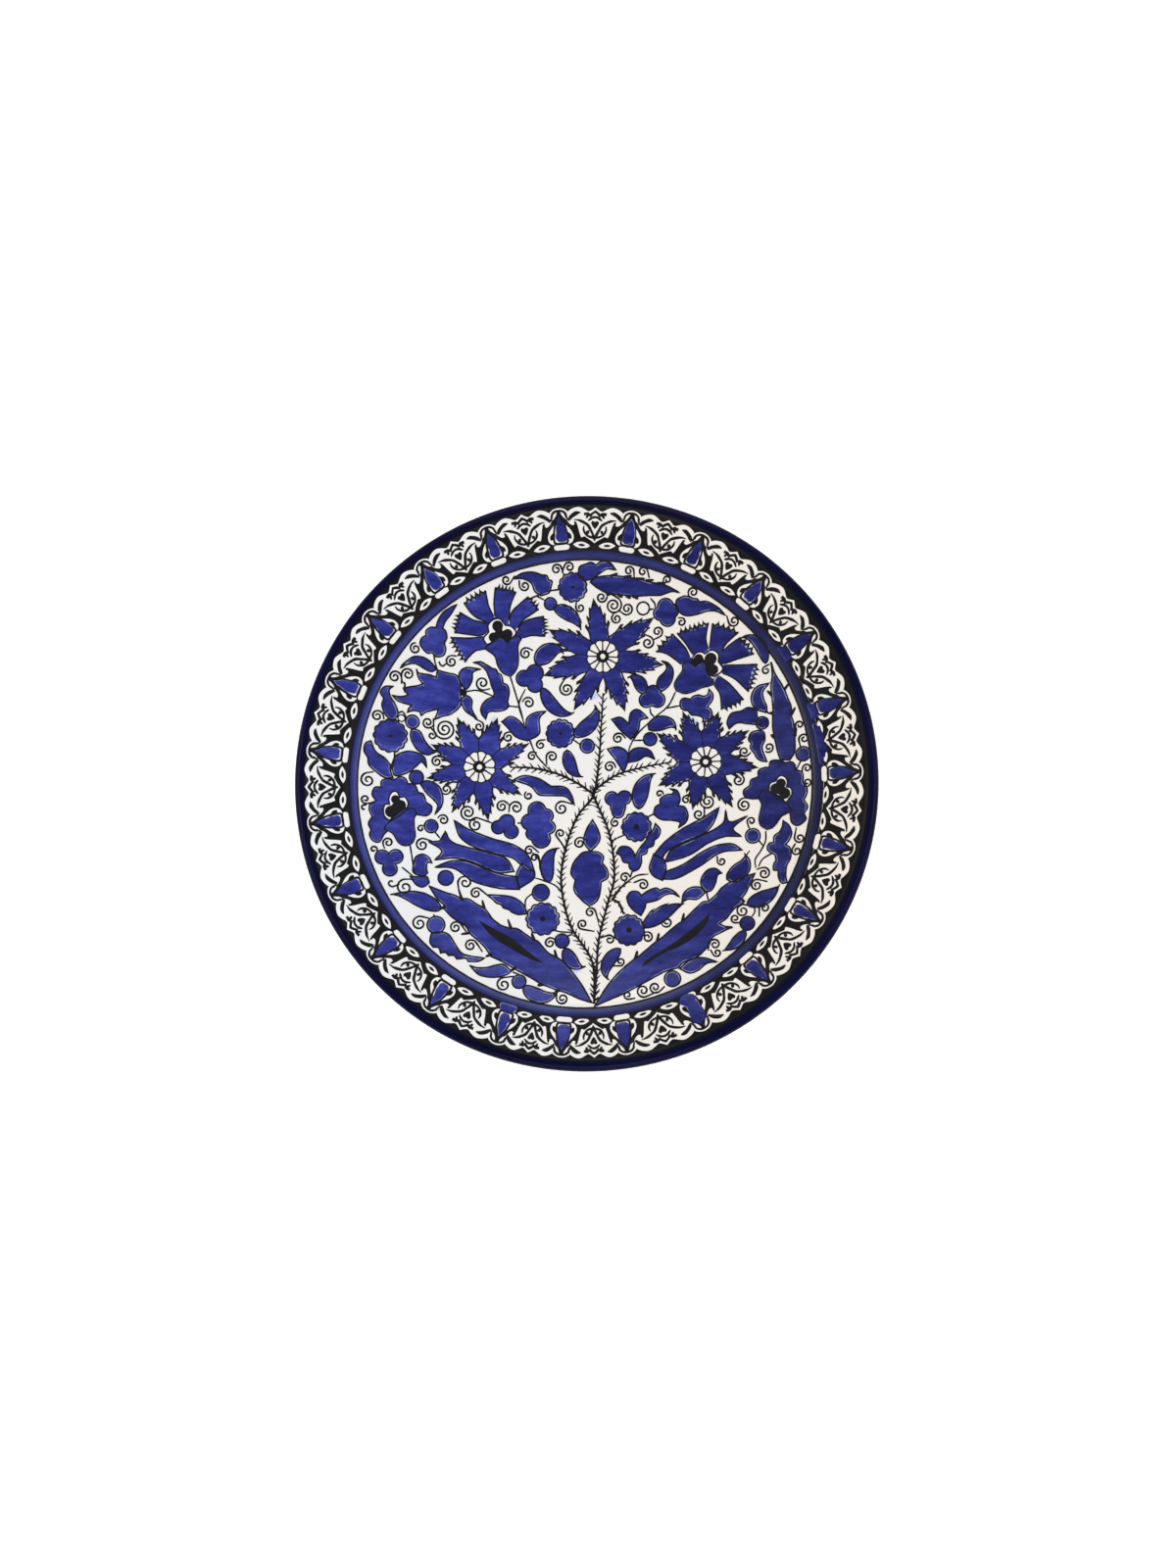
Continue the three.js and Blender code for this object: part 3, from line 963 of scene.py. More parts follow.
def drop_unit(white, ink, border):
    """Arch, onion and base round one border drop."""
    print_white(white, border, ARCH_HALF)
    print_white(white, border, ONION_HALF)
    print_white(white, border, BASE_HALF, lift=0.16)
    print_lines(ink, border, [
        (1.35, (1, 0.5), [(-0.1, 127.9), (1.6, 127.6), (2.9, 126.4), (3.2, 125.0), (3.9, 123.5)]),
        (2.0, (1, 0.4), [(0, 128.0), (0.5, 125.8), (2.0, 123.3), (4.2, 121.0)]),
        (1.3, (1, 1), [(0, 125.3), (1.0, 123.6), (2.2, 121.3), (2.8, 118.9), (3.2, 116.5), (3.3, 114.3),
                       (2.6, 113.1), (-0.1, 113.0)]),
        (1.7, (1, 0.4), [(2.9, 117.7), (4.0, 116.8), (5.0, 115.8)]),
        (1.7, (1, 0.5), [(3.2, 115.5), (4.3, 115.7), (4.8, 114.9)]),
    ])


def cobalt_drop(drops, border, hand_slip):
    """Raised cobalt drop with a ragged edge, each one a little different."""
    sway = hand_slip.uniform(-0.5, 0.5)
    fatness = hand_slip.uniform(0.85, 1.12)
    edges = []
    for hand in (1, -1):
        edge = []
        for x, radius in DROP_HALF:
            ragged = hand_slip.uniform(-0.3, 0.3) if x else 0
            edge.append((hand * (x * fatness + ragged) + sway * (124 - radius) / 10, radius))
        edges.append(smooth(edge))
    right, left = edges
    loop = border.map(right + left[::-1][:-1])
    fill(drops, [loop], rise=0.15, lift=0.16, bevel=0.35, tone=hand_slip.uniform(0.2, 0.7), spacing=2)


SMEARED_BASES = (3, 4, 12)                   # drops whose base was painted over
SMEAR = [(-3.9, 109.6), (0, 109.3), (4.1, 109.7), (3.7, 112.2), (1.2, 112.8), (-2.9, 112.3)]
BLOTTED_DROP = 9
BLOT = [
    (-2.2, 124), (1.8, 124.4), (3.4, 120), (2.9, 116), (5.2, 113), (3.6, 110.3), (0.4, 109.9),
    (-2.9, 111.6), (-2.4, 115.5), (-3.7, 119.6),
]
SMEARED_PALMETTE = 4                         # palmette whose foot was painted over
FOOT_SMEAR = [
    (-9.5, 109.2), (-3, 109), (4, 109), (10.4, 109.4), (10.9, 111.2), (7, 111.9), (4.6, 113.6),
    (0.6, 112.4), (-3.8, 112.9), (-8.4, 111.2),
]


def blot(drops, border, points):
    """Blue enamel that slipped off its place in the border."""
    fill(drops, [border.map(round_outline(points))], rise=0.1, lift=0.2, bevel=0.35, spacing=2)


def make_border():
    """The printed border, its cobalt drops and what slipped beside them."""
    white, ink, drops = Layer(), Layer(), Layer()
    hand_slip = random.Random(5)
    for repeat in range(REPEATS):
        palmette(white, ink, Border(repeat, half_step=True))
        drop_unit(white, ink, Border(repeat))
        cobalt_drop(drops, Border(repeat), hand_slip)
    for repeat in SMEARED_BASES:
        blot(drops, Border(repeat), SMEAR)
    blot(drops, Border(BLOTTED_DROP), BLOT)
    blot(drops, Border(SMEARED_PALMETTE, half_step=True), FOOT_SMEAR)
    white.piece("border_white_print", PRINT_WHITE, [], "cream_glaze")
    ink.piece("border_black_lines", INK, [], "black_print")
    drop_nodes = [f"border_drop_{number:02d}" for number in range(1, REPEATS + 1)]
    drops.piece("border_drops_visual", COBALT, drop_nodes, "cobalt_enamel")


make_border()

# ------------------------------------------------------------------ ring round the picture

PICTURE_CENTRE = (-0.9, -0.1)
RING_SECTION = [(105.6, SUNK), (105.9, 0.08), (107.8, 0.1), (109.7, 0.08), (110.0, SUNK)]
RING_LINES = ((105.4, 0.8), (110.1, 1.2))    # radius and width


def make_ring():
    """Cobalt ring between border and picture, with a thin black line along each edge."""
    ring = Layer()
    count = len(RING_SECTION)
    flat, lifts, faces = [], [], []
    for turn in range(SEGMENTS):
        here, there = turn * count, ((turn + 1) % SEGMENTS) * count
        faces.extend((here + i, here + i + 1, there + i + 1, there + i) for i in range(count - 1))
        for radius, lift in RING_SECTION:
            flat.append(polar(TAU * turn / SEGMENTS, radius, PICTURE_CENTRE))
            lifts.append(lift)
    ring.lay(flat, lifts, faces, 0.0, [1.0] * len(flat))
    ring.piece("well_ring_visual", RING, ["well_ring"], "cobalt_enamel")
    lines = Layer()
    for radius, width in RING_LINES:
        stroke(lines, circle(PICTURE_CENTRE, radius, 1.0), width, closed=True, lift=0.1)
    lines.piece("ring_edge_lines", INK, [], "black_print")


make_ring()

# ------------------------------------------------------------------ painted motifs

ink = Layer()                                # outlines, stems and flower hearts
tendrils = Layer()                           # thin spirals
white = Layer()                              # bare patches left inside the enamel
leaves = Layer()
berries = Layer()                            # berries, berry clusters and rosettes
blossoms = Layer()
painted_highlights = Layer()                             # painted highlights: pale blue reflections of light in the glaze


def painted(blue, loop):
    """Enamel patch inside a drawn outline."""
    fill(blue, [loop])
    stroke(ink, loop, 0.85, closed=True, lift=0.1)


def leaf(base, tip, width, bend=0.0, teeth=(0, 0), full=0.38):
    """Leaf that is full near its base and curls over into a hooked tip.

    Bend bulges it to its left. Teeth gives the number of teeth on its left and right edge. Full is
    the share of its length at which it is widest.
    """
    length = distance(base, tip)
    ahead = heading_of(base, tip)
    curling = max(-1, min(1, 10 * bend))
    lean = math.atan(4 * bend)
    leaving = polar(ahead + 1.15 * lean, 0.42 * length, base)
    arriving = polar(ahead - lean - 0.45 * curling, -0.36 * length, tip)
    corners = (base, leaving, arriving, tip)
    rounding = 0.6
    sharpening = rounding * (1 - full) / full
    most = full**rounding * (1 - full) ** sharpening
    count = max(14, round(length / 0.6))

    def spine(t):
        """Point along the middle of the leaf, with t from 0 to 1."""
        weights = ((1 - t) ** 3, 3 * t * (1 - t) ** 2, 3 * t**2 * (1 - t), t**3)
        x = sum(weight * corner[0] for weight, corner in zip(weights, corners))
        y = sum(weight * corner[1] for weight, corner in zip(weights, corners))
        return (x, y)

    def edge(t, side, count_teeth):
        """Point on the left (side 1) or right (side -1) edge of the leaf."""
        direction = heading_of(spine(max(t - 0.02, 0)), spine(min(t + 0.02, 1)))
        half = 0.5 * width * t**rounding * (1 - t) ** sharpening / most
        if count_teeth and 0.12 < t < 0.95:
            half *= 1 + 0.3 * ((t * count_teeth) % 1) - 0.12
        return polar(direction + side * math.pi / 2, half, spine(t))

    sides = []
    for side, count_teeth in ((1, teeth[0]), (-1, teeth[1])):
        sides.append([edge(index / count, side, count_teeth) for index in range(count + 1)])
        for tooth in range(1, count_teeth):
            root = edge(tooth / count_teeth - 0.01, side, count_teeth)
            direction = heading_of(root, edge(tooth / count_teeth + 0.06, side, 0))
            stroke(ink, [root, polar(direction + side * 0.4, 2.0, root)], 0.9, (1, 0.2), lift=0.1)
    left, right = sides
    painted(leaves, left[:-1] + right[:0:-1])
    hook = polar(ahead - lean - 0.9 * curling, 1.3, tip)
    stroke(ink, smooth([spine(0.9), tip, hook], 0.4), 0.95, (1, 0.3), lift=0.1)


def berry(centre, radius):
    """Round enamel dot with an outline."""
    painted(berries, circle(centre, radius))


def scalloped(centre, radius, lobes, corners, low, depth):
    """Round outline of lobes with some corners each.

    Low and depth are shares of the radius: the place of the valleys, and how far the lobes stand out.
    """
    loop = []
    for index in range(lobes * corners):
        angle = TAU * index / (lobes * corners)
        share = low + depth * abs(math.sin(lobes * angle / 2))
        loop.append(polar(angle, radius * share, centre))
    return loop


def rosette(centre, radius, heart=False):
    """Round flower with a scalloped edge and a dot, or a dark heart, in its middle."""
    scallops = scalloped(centre, radius, 13, 7, 0.9, 0.1)
    fill(berries, [[polar(heading_of(centre, point), -0.25, point) for point in scallops]])
    stroke(ink, scallops, 0.8, closed=True, lift=0.1)
    fill(ink, [circle(centre, 1.3 if heart else 0.7, 0.4)], rise=0.04, lift=0.15, bevel=0.3)


def cluster_outline(lobes, corners=72):
    """Outline round overlapping lobes, each (x, y, radius), as seen from their middle."""
    centre = (sum(x for x, _, _ in lobes) / len(lobes), sum(y for _, y, _ in lobes) / len(lobes))
    loop = []
    for index in range(corners):
        angle = index * TAU / corners
        reach = 0.3
        for x, y, radius in lobes:
            along = (x - centre[0]) * math.cos(angle) + (y - centre[1]) * math.sin(angle)
            inside_square = radius**2 - distance(centre, (x, y)) ** 2 + along**2
            if inside_square > 0:
                reach = max(reach, along + math.sqrt(inside_square))
        loop.append(polar(angle, reach, centre))
    return loop


def cluster(*lobes):
    """Berries that grow together."""
    painted(berries, cluster_outline(lobes))


def blossom(*arcs):
    """Small painted shape with an outline of its own."""
    painted(blossoms, outline(*arcs))


def painted_highlight(centre, half_length, half_width, turn, corners=20):
    """Painted highlight: a soft pale blue mark where light is reflected in the white glaze."""
    loop = []
    for index in range(corners):
        angle = TAU * index / corners
        wave = 1 + 0.12 * math.sin(3 * angle + half_length)
        along = half_length * wave * math.cos(angle)
        aside = half_width * wave * math.sin(angle)
        loop.append(polar(turn + math.pi / 2, aside, polar(turn, along, centre)))
    fill(painted_highlights, [loop], rise=0, lift=0.035, bevel=2.0, spacing=1.6)


def curl(tail, centre, radius, hand, turns=1.5):
    """Tendril that leaves tail, meets a circle and winds into its middle. Hand 1 winds anticlockwise."""
    radius *= 1.1
    turns = min(turns, 0.25 + 0.45 * radius)
    gap = max(distance(tail, centre), radius * 1.02)
    angle = heading_of(centre, tail) + hand * math.acos(min(1, radius / gap))
    path = [tail] if distance(tail, centre) > radius * 1.15 else []
    count = round(12 * turns)
    for index in range(count + 1):
        share = index / count
        path.append(polar(angle + hand * TAU * turns * share, radius - (radius - 0.5) * share, centre))
    stroke(tendrils, smooth(path, 0.5), 0.98, (0.8, 0.9))


def stem(*points, width=0.85, taper=(1, 0.7)):
    """Plain stem along a smooth curve."""
    stroke(ink, smooth(points), width, taper)


def feather(*points, spacing=1.2, barb=3.1):
    """Stem with fine barbs that point along it, on its left and right by turns."""
    path = smooth(points, 0.6)
    stroke(ink, path, 1.2, (1, 0.6))
    walked = 0.0
    hand = 1
    for start, end in zip(path, path[1:]):
        walked += distance(start, end)
        if walked >= spacing:
            walked = 0.0
            hand = -hand
            heading = heading_of(start, end) + hand * rng.uniform(0.6, 0.85)
            stroke(ink, [start, polar(heading, barb * rng.uniform(0.8, 1.15), start)], 0.95, (1, 0.4))


def toothed_side(start, end, bulge, teeth, size):
    """Edge of a petal from start to end, bulging to its left, with barbed teeth that point to end.

    The teeth are smaller near the end, and lie left of the edge, or right of it where size is negative.
    """
    length = distance(start, end)
    heading = heading_of(start, end)
    hand = math.copysign(1, size)
    left = heading + math.pi / 2

    def on_curve(t, out=0.0):
        """Point at the share t of the edge, and this far out to its left."""
        point = polar(heading, length * t, start)
        return polar(left, bulge * length * 4 * t * (1 - t) + out, point)

    side = [start]
    for tooth in range(teeth):
        t = 0.24 + 0.44 * tooth / (teeth - 1)
        shrink = 1.15 - t
        reach = size * shrink
        peak = on_curve(t + 0.1, reach)
        side.append(on_curve(t - 0.06))
        side.append(peak)
        side.append(on_curve(t + 0.07, -0.3 * reach))
        barb = polar(heading + hand * rng.uniform(0.1, 0.3), 1.3 * shrink, peak)
        stroke(ink, [on_curve(t + 0.03, 0.3 * reach), peak, barb], 1.7 * shrink, (1, 0.12), lift=0.1)
    side.append(end)
    return side


def star_flower(name, centre, tips, valleys, bulge=0.02, disc=7.5, spokes=11):
    """Many-pointed flower with toothed petals round a white disc. Tips and valleys run clockwise."""
    blue = Layer()
    loop = []
    for index, tip in enumerate(tips):
        loop.extend(toothed_side(valleys[index - 1], tip, bulge, 3, 1.5)[:-1])
        down = toothed_side(valleys[index], tip, -bulge, 3, -1.5)
        loop.extend(down[:0:-1])
    eye = scalloped(centre, disc, spokes, 8, 0.93, 0.08)
    for tip in tips:
        outward = heading_of(centre, tip)
        point = [polar(outward, -3.0, tip), polar(outward + rng.uniform(-0.5, 0.5), 0.7, tip)]
        stroke(ink, point, 1.4, (1, 0.1), lift=0.12)
    for valley in valleys:
        fold = polar(heading_of(valley, centre), distance(valley, centre) - disc, valley)
        stroke(ink, [valley, fold], 0.55, (1, 0.8), lift=0.12)
    fill(blue, [loop, eye], bevel=0.4, spacing=1.3)
    stroke(ink, loop, 0.9, closed=True, lift=0.1)
    stroke(ink, eye, 0.7, closed=True, lift=0.1)
    for index in range(spokes):
        angle = TAU * index / spokes + rng.uniform(-0.08, 0.08)
        stroke(ink, [polar(angle, 2.2, centre), polar(angle, disc * 0.95, centre)], 0.8, (1, 0.8))
    stroke(ink, circle(centre, 2.1, 0.4), 1.9, closed=True)
    blue.enamel_node(name)


def zigzag(start, end, teeth, size):
    """Ragged petal edge from start to end with teeth that stand out to its left."""
    left = heading_of(start, end) + math.pi / 2
    points = [start]
    for tooth in range(teeth):
        low = (tooth + 0.5) / teeth
        points.append(polar(left, -size * 0.5, between(start, end, low)))
        if tooth < teeth - 1:
            high = (tooth + 1) / teeth
            peak = polar(left, size * (0.35 + 0.9 * high * (1 - high)), between(start, end, high))
            points.append(peak)
            barb = polar(left + rng.uniform(-0.25, 0.25), 1.2, peak)
            stroke(ink, [peak, barb], 0.9, (1, 0.2), lift=0.1)
    points.append(end)
    return points


def fan_petal(blue, left_side, right_side, teeth):
    """Carnation petal between two smooth sides, each listed from its root outwards, with a ragged end."""
    up = smooth(left_side)
    down = smooth(right_side)[::-1]
    edge = zigzag(up[-1], down[0], teeth, 1.6)
    root = ((up[0][0] + down[-1][0]) / 2, (up[0][1] + down[-1][1]) / 2)
    inward = heading_of(edge[len(edge) // 2], root)
    loop = [polar(inward, 2.4, up[0]), *up, *edge[1:-1], *down, polar(inward, 2.4, down[-1])]
    fill(blue, [loop], bevel=0.5)
    stroke(ink, up, 0.85, (0.8, 1), lift=0.1)
    stroke(ink, down, 0.85, (1, 0.8), lift=0.1)
    stroke(ink, edge, 0.95, (1, 1), lift=0.1)


def flower_heart(surround, lobes):
    """Black lobes inside a white surround."""
    fill(white, [surround], rise=0.04, lift=0.15, bevel=0.3)
    stroke(ink, surround, 0.85, closed=True, lift=0.16)
    fill(ink, [cluster_outline(lobes)], rise=0.06, lift=0.19, bevel=0.4)


def long_leaf(name, loop, barbs, slit=None):
    """Big leaf with barbs, each drawn from its root to its point, and a black slit in its middle."""
    blue = Layer()
    painted(blue, loop)
    for root, point in barbs:
        beyond = polar(heading_of(root, point), 0.7, point)
        stroke(ink, [root, point, beyond], 1.6, (1, 0.15), lift=0.12)
    if slit:
        fill(ink, [slit], rise=0.05, lift=0.15, bevel=0.5)
    blue.enamel_node(name)


def calyx(blue, loop):
    """Cup at the foot of a flower, laid over its petals with an outline of its own."""
    fill(blue, [loop], lift=0.2, bevel=0.5)
    stroke(ink, loop, 0.75, closed=True, lift=0.24)


def carnation(name, petals, cup, surround, lobes):
    """Carnation with ragged petals, each (left side, right side, teeth), a dark heart and a cup."""
    blue = Layer()
    for left, right, teeth in petals:
        fan_petal(blue, left, right, teeth)
    flower_heart(surround, lobes)
    calyx(blue, cup)
    blue.enamel_node(name)


def side_flower(name, fan, surround, lobes, cup):
    """Flower seen from the side: a scalloped fan with a dark heart, in a cup."""
    blue = Layer()
    painted(blue, fan)
    flower_heart(surround, lobes)
    calyx(blue, cup)
    blue.enamel_node(name)


def petalled(name, *petals):
    """Motif of separate petals, each a list of arcs."""
    blue = Layer()
    for petal in petals:
        painted(blue, outline(*petal))
    blue.enamel_node(name)

# the three star flowers
star_flower(
    "star_flower_top", (7.4, 61.2),
    [(3.2, 87.4), (31, 78.4), (35.4, 56.8), (17.6, 35.8), (-6, 36.4), (-20, 52.4), (-17.6, 73.6)],
    [(10.2, 70), (17.6, 63.8), (16.2, 53.8), (7.6, 51.8), (0, 54.2), (-4.8, 62.2), (1.8, 68.4)],
    bulge=0.07, disc=7.6, spokes=12,
)
star_flower(
    "star_flower_left", (-50.4, 9),
    [(-60.6, 31.6), (-42.2, 31.8), (-27.6, 20), (-31, -4),
     (-46.2, -16), (-62.8, -12.4), (-74.4, 3.2), (-72.4, 19)],
    [(-50.8, 22.2), (-41, 17.4), (-40.6, 8), (-44.2, -0.2),
     (-53, -3), (-60.4, 1.6), (-63.2, 10), (-59, 18)],
)
star_flower(
    "star_flower_right", (55.4, 10.8),
    [(45, 34.2), (61.4, 33.6), (75.2, 24.6), (79.4, 7.2),
     (67.6, -10.8), (49.2, -11.2), (33.6, 0), (32.8, 24.6)],
    [(53.4, 24.6), (62, 21.8), (66.6, 14), (64.2, 4.4),
     (56.2, -0.6), (47.6, 2.2), (42.4, 10.8), (45, 20.4)],
)

# the two carnations
carnation(
    "carnation_left",
    petals=[
        ([(-48, 64.4), (-52.2, 63.4), (-55.2, 60.8), (-57.2, 58)],
         [(-48.6, 70), (-55.4, 69.2), (-63.8, 69.2)], 6),
        ([(-46.8, 72.4), (-50.6, 70.6), (-62, 71.6)], [(-46, 76.2), (-53.2, 77.6), (-59.4, 80.8)], 5),
        ([(-47, 76.8), (-53, 79.6), (-57.4, 85.2)], [(-43.8, 79.8), (-46, 84.2), (-47.4, 91)], 5),
        ([(-43, 79.4), (-43.4, 85.8), (-42.6, 92.6)], [(-36.6, 77.8), (-35.8, 84.4), (-33.2, 90.8)], 6),
        ([(-36.2, 76.6), (-34.8, 82), (-27.4, 88.6)], [(-32.6, 74.4), (-29.6, 78.2), (-22.6, 83)], 4),
        ([(-32.6, 73), (-28.8, 77.6), (-20.2, 79.8)], [(-29.8, 69.8), (-25.8, 71), (-19.6, 70.6)], 6),
    ],
    cup=outline(
        [(-47.6, 65), (-43.6, 68), (-41, 69.8)], [(-39, 69), (-37.2, 67.2)],
        [(-35.6, 69.4), (-32.6, 70.6), (-30.8, 69.4)],
        [(-32.4, 66.2), (-32.2, 59.2), (-33.4, 54.8), (-36, 51.8)],
        [(-39.4, 53.4), (-41.8, 56.8), (-43.4, 61.4), (-47.6, 64.4)],
    ),
    surround=outline(
        [(-46.8, 66.4), (-48.4, 69.2), (-46, 72.2)],
        [(-46.2, 75.4), (-43.6, 78), (-40.6, 78.2), (-38.2, 75.4)],
        [(-35.6, 75), (-33.4, 72.8), (-33.4, 71.4)], [(-37.2, 67.8), (-41, 69.2), (-46.8, 66.4)],
    ),
    lobes=[
        (-41.8, 75, 2.6), (-43.8, 69.8, 2.3), (-37.2, 71.4, 2.4), (-41, 71.2, 2.4), (-37.8, 69.4, 1.8),
    ],
)
carnation(
    "carnation_right",
    petals=[
        ([(44.2, 56.8), (39.8, 60.4), (36.2, 62.4), (32.4, 63)],
         [(48.2, 60.2), (45.8, 64.8), (40, 71)], 4),
        ([(49.6, 61.2), (46.8, 65.8), (42.4, 71.2)], [(56.8, 63.6), (55.8, 68.8), (57, 75.4)], 7),
        ([(57.4, 63.6), (58.2, 68.8), (59, 75)], [(63.2, 62), (65.4, 65.6), (71, 70.4)], 5),
        ([(63.2, 61.6), (67.2, 65), (72, 68)], [(64.2, 56.2), (70.6, 58.2), (78.2, 60.2)], 4),
        ([(64.2, 55.6), (71.2, 55.4), (79.8, 55.2)], [(63.6, 52), (69.4, 49), (75.6, 42.8)], 6),
        ([(62.2, 50.6), (67.4, 46.2), (73.2, 39.2)], [(59.6, 46.6), (62.4, 42), (63, 35)], 5),
    ],
    cup=outline(
        [(44.8, 56.4), (47.2, 58), (49.6, 56.6), (50.8, 55.4)], [(53, 57), (55.2, 57), (55.8, 53.6)],
        [(57.2, 50.8), (59, 49), (59.2, 47)],
        [(56.8, 46.2), (53.8, 45.6), (49.4, 43.8), (45.6, 43.2), (41.8, 44.6)],
        [(41, 47.6), (42.8, 51), (44.8, 54), (44.8, 56.4)],
    ),
    surround=outline(
        [(48.6, 58.2), (51, 61.6), (53.8, 62.2), (55.2, 61.2)],
        [(58.8, 62.8), (61.6, 60.8), (61.6, 57.2)], [(63.6, 54.4), (62.6, 52.4), (59.8, 50.8)],
        [(57.2, 51.8), (53.8, 57.6), (48.6, 58.2)],
    ),
    lobes=[(52.4, 59, 2.3), (58, 58.8, 2.9), (59, 53.8, 2.6), (55.6, 56.4, 2.3), (50.8, 57.6, 2.0)],
)

# the two flowers at the sides
side_flower(
    "side_flower_left",
    fan=outline(
        [(-94.2, -24.4), (-96, -27.8), (-98.8, -27.4), (-100.4, -24.8), (-99.8, -22.2)],
        [(-101, -19.2), (-99.4, -15.8)], [(-100.8, -12.6), (-100.2, -9.8), (-97.8, -8.4)],
        [(-99.6, -5.4), (-98.4, -2.2), (-95.6, -1.8)], [(-95.4, 1), (-93, 2.2), (-89.8, 1.8)],
        [(-87, 3.4), (-84.6, 2.6), (-83.4, 0.2)], [(-80.4, 0), (-78.6, -3.8)],
        [(-76.4, -4.4), (-75, -8.2)], [(-72.6, -10), (-72.6, -12.6), (-75, -14.6), (-79, -14.2)],
        [(-82.4, -15), (-88.8, -18.6), (-94.2, -24.4)],
    ),
    surround=outline(
        [(-91.6, -17.4), (-93.8, -15.6), (-94.4, -12.2), (-93.6, -10), (-91.6, -9.8)],
        [(-92, -7), (-90.6, -4), (-88.4, -3.8), (-87, -6.4)],
        [(-84.6, -6.2), (-83.2, -8.8), (-83.6, -11)], [(-86.8, -13), (-91.6, -17.4)],
    ),
    lobes=[(-89, -7.4, 2.1), (-86.6, -10, 2.5), (-90.8, -13.2, 2.9), (-88.4, -11.4, 2.6)],
    cup=outline(
        [(-80.2, -11.6), (-82.8, -11.6), (-86.4, -14.6), (-90.4, -17.4), (-93, -19.6), (-93.8, -21.8)],
        [(-91.6, -22.6), (-89.6, -24), (-87.2, -27.8), (-84.2, -29.2),
         (-81.2, -27.8), (-79.8, -24), (-80.4, -19.4)],
        [(-80.4, -15.8), (-79.4, -13.8), (-80.2, -11.6)],
    ),
)
side_flower(
    "side_flower_right",
    fan=outline(
        [(80, -7.4), (76.6, -7.4), (73.4, -6.2), (73, -3.4), (75.8, -1.2)], [(76.6, 1.6), (79.8, 2.8)],
        [(80, 5.8), (82.8, 7), (84.8, 7)], [(85.6, 9.8), (88.8, 10.2), (92.4, 8.8)],
        [(95.2, 9), (96.8, 7.2), (97, 5.2)], [(99.8, 4), (100.4, 1.8), (100.2, -1)],
        [(102, -3.6), (102, -6.2), (100.6, -9.2)], [(102.2, -12.4), (100.6, -15.6)],
        [(101.4, -18.4), (98, -21), (95, -19.6), (94.2, -15)], [(90.8, -8.4), (85.4, -5.2), (80, -7.4)],
    ),
    surround=outline(
        [(84.6, -4), (85.2, -0.6), (87.8, 0.4)], [(89.4, 2.6), (91.8, 2.4), (93.2, 0), (92.6, -2.6)],
        [(94.8, -3.4), (95, -6.4), (92.4, -10)], [(89.8, -7.2), (84.6, -4)],
    ),
    lobes=[(90.2, -0.8, 2.3), (87.8, -3.2, 2.6), (91.8, -5.6, 2.7), (90, -3.8, 2.4)],
    cup=outline(
        [(80, -7.4), (80.8, -4.8), (83.2, -3.8), (88.2, -7), (92.4, -10.2), (95, -13.8)],
        [(92.6, -15.2), (90.2, -16.4), (88, -19.4), (85.8, -21.6), (83.6, -22.2)],
        [(80.6, -20), (80, -16.2), (81.2, -10.6), (80, -7.4)],
    ),
)

# the two tulips
petalled(
    "tulip_left",
    [
        [(-62, -16.5), (-54.5, -21), (-44, -25), (-34, -28), (-27.5, -33), (-24.5, -40.5)],
        [(-28, -39.5), (-31, -37)], [(-35, -34), (-43, -32), (-52.5, -29), (-59, -24.5), (-62, -16.5)],
    ],
    [
        [(-73.5, -27), (-68.5, -26.5)], [(-66, -22)],
        [(-62.5, -27), (-52.5, -30), (-42.5, -32.5), (-37, -35), (-34, -40.5)],
        [(-42, -41), (-52.5, -36.5), (-61.5, -34.5), (-70.5, -35.5)], [(-67.5, -31), (-73.5, -27)],
    ],
    [
        [(-70.5, -39), (-63.5, -36), (-56, -36), (-47, -39.5), (-39.5, -42), (-32.5, -43)],
        [(-31.5, -49)], [(-41, -48.5), (-52.5, -45.5), (-61.5, -39.5), (-70.5, -39)],
    ],
    [
        [(-30.5, -36.5), (-27.5, -38.5), (-24.5, -41), (-25.5, -44.5), (-31.5, -48.5)],
        [(-33, -42.5), (-30.5, -36.5)],
    ],
)
petalled(
    "tulip_right",
    [
        [(61.5, -11), (53.5, -16), (44, -21), (36, -27), (31, -33)], [(35, -34.5)],
        [(37.5, -31), (45, -27), (54.5, -23), (59, -18), (61.5, -11)],
    ],
    [
        [(36, -36.5), (39.5, -30.5), (49, -26), (58, -22), (63.5, -18), (64.5, -12.5)],
        [(66.5, -18), (74.5, -15.5)], [(68, -21), (71.5, -25)],
        [(63.5, -25), (56, -28), (47, -33.5), (36, -36.5)],
    ],
    [
        [(72, -31.5), (67.5, -28.5), (60, -29), (52.5, -32.5), (45, -37.5), (36.5, -41)], [(35, -44.5)],
        [(42, -44), (52.5, -38.5), (62, -32.5), (72, -31.5)],
    ],
    [
        [(31, -32.5), (35.5, -35), (36.5, -37.5), (36.5, -41), (35, -45)],
        [(31, -43), (29, -39), (31, -32.5)],
    ],
)

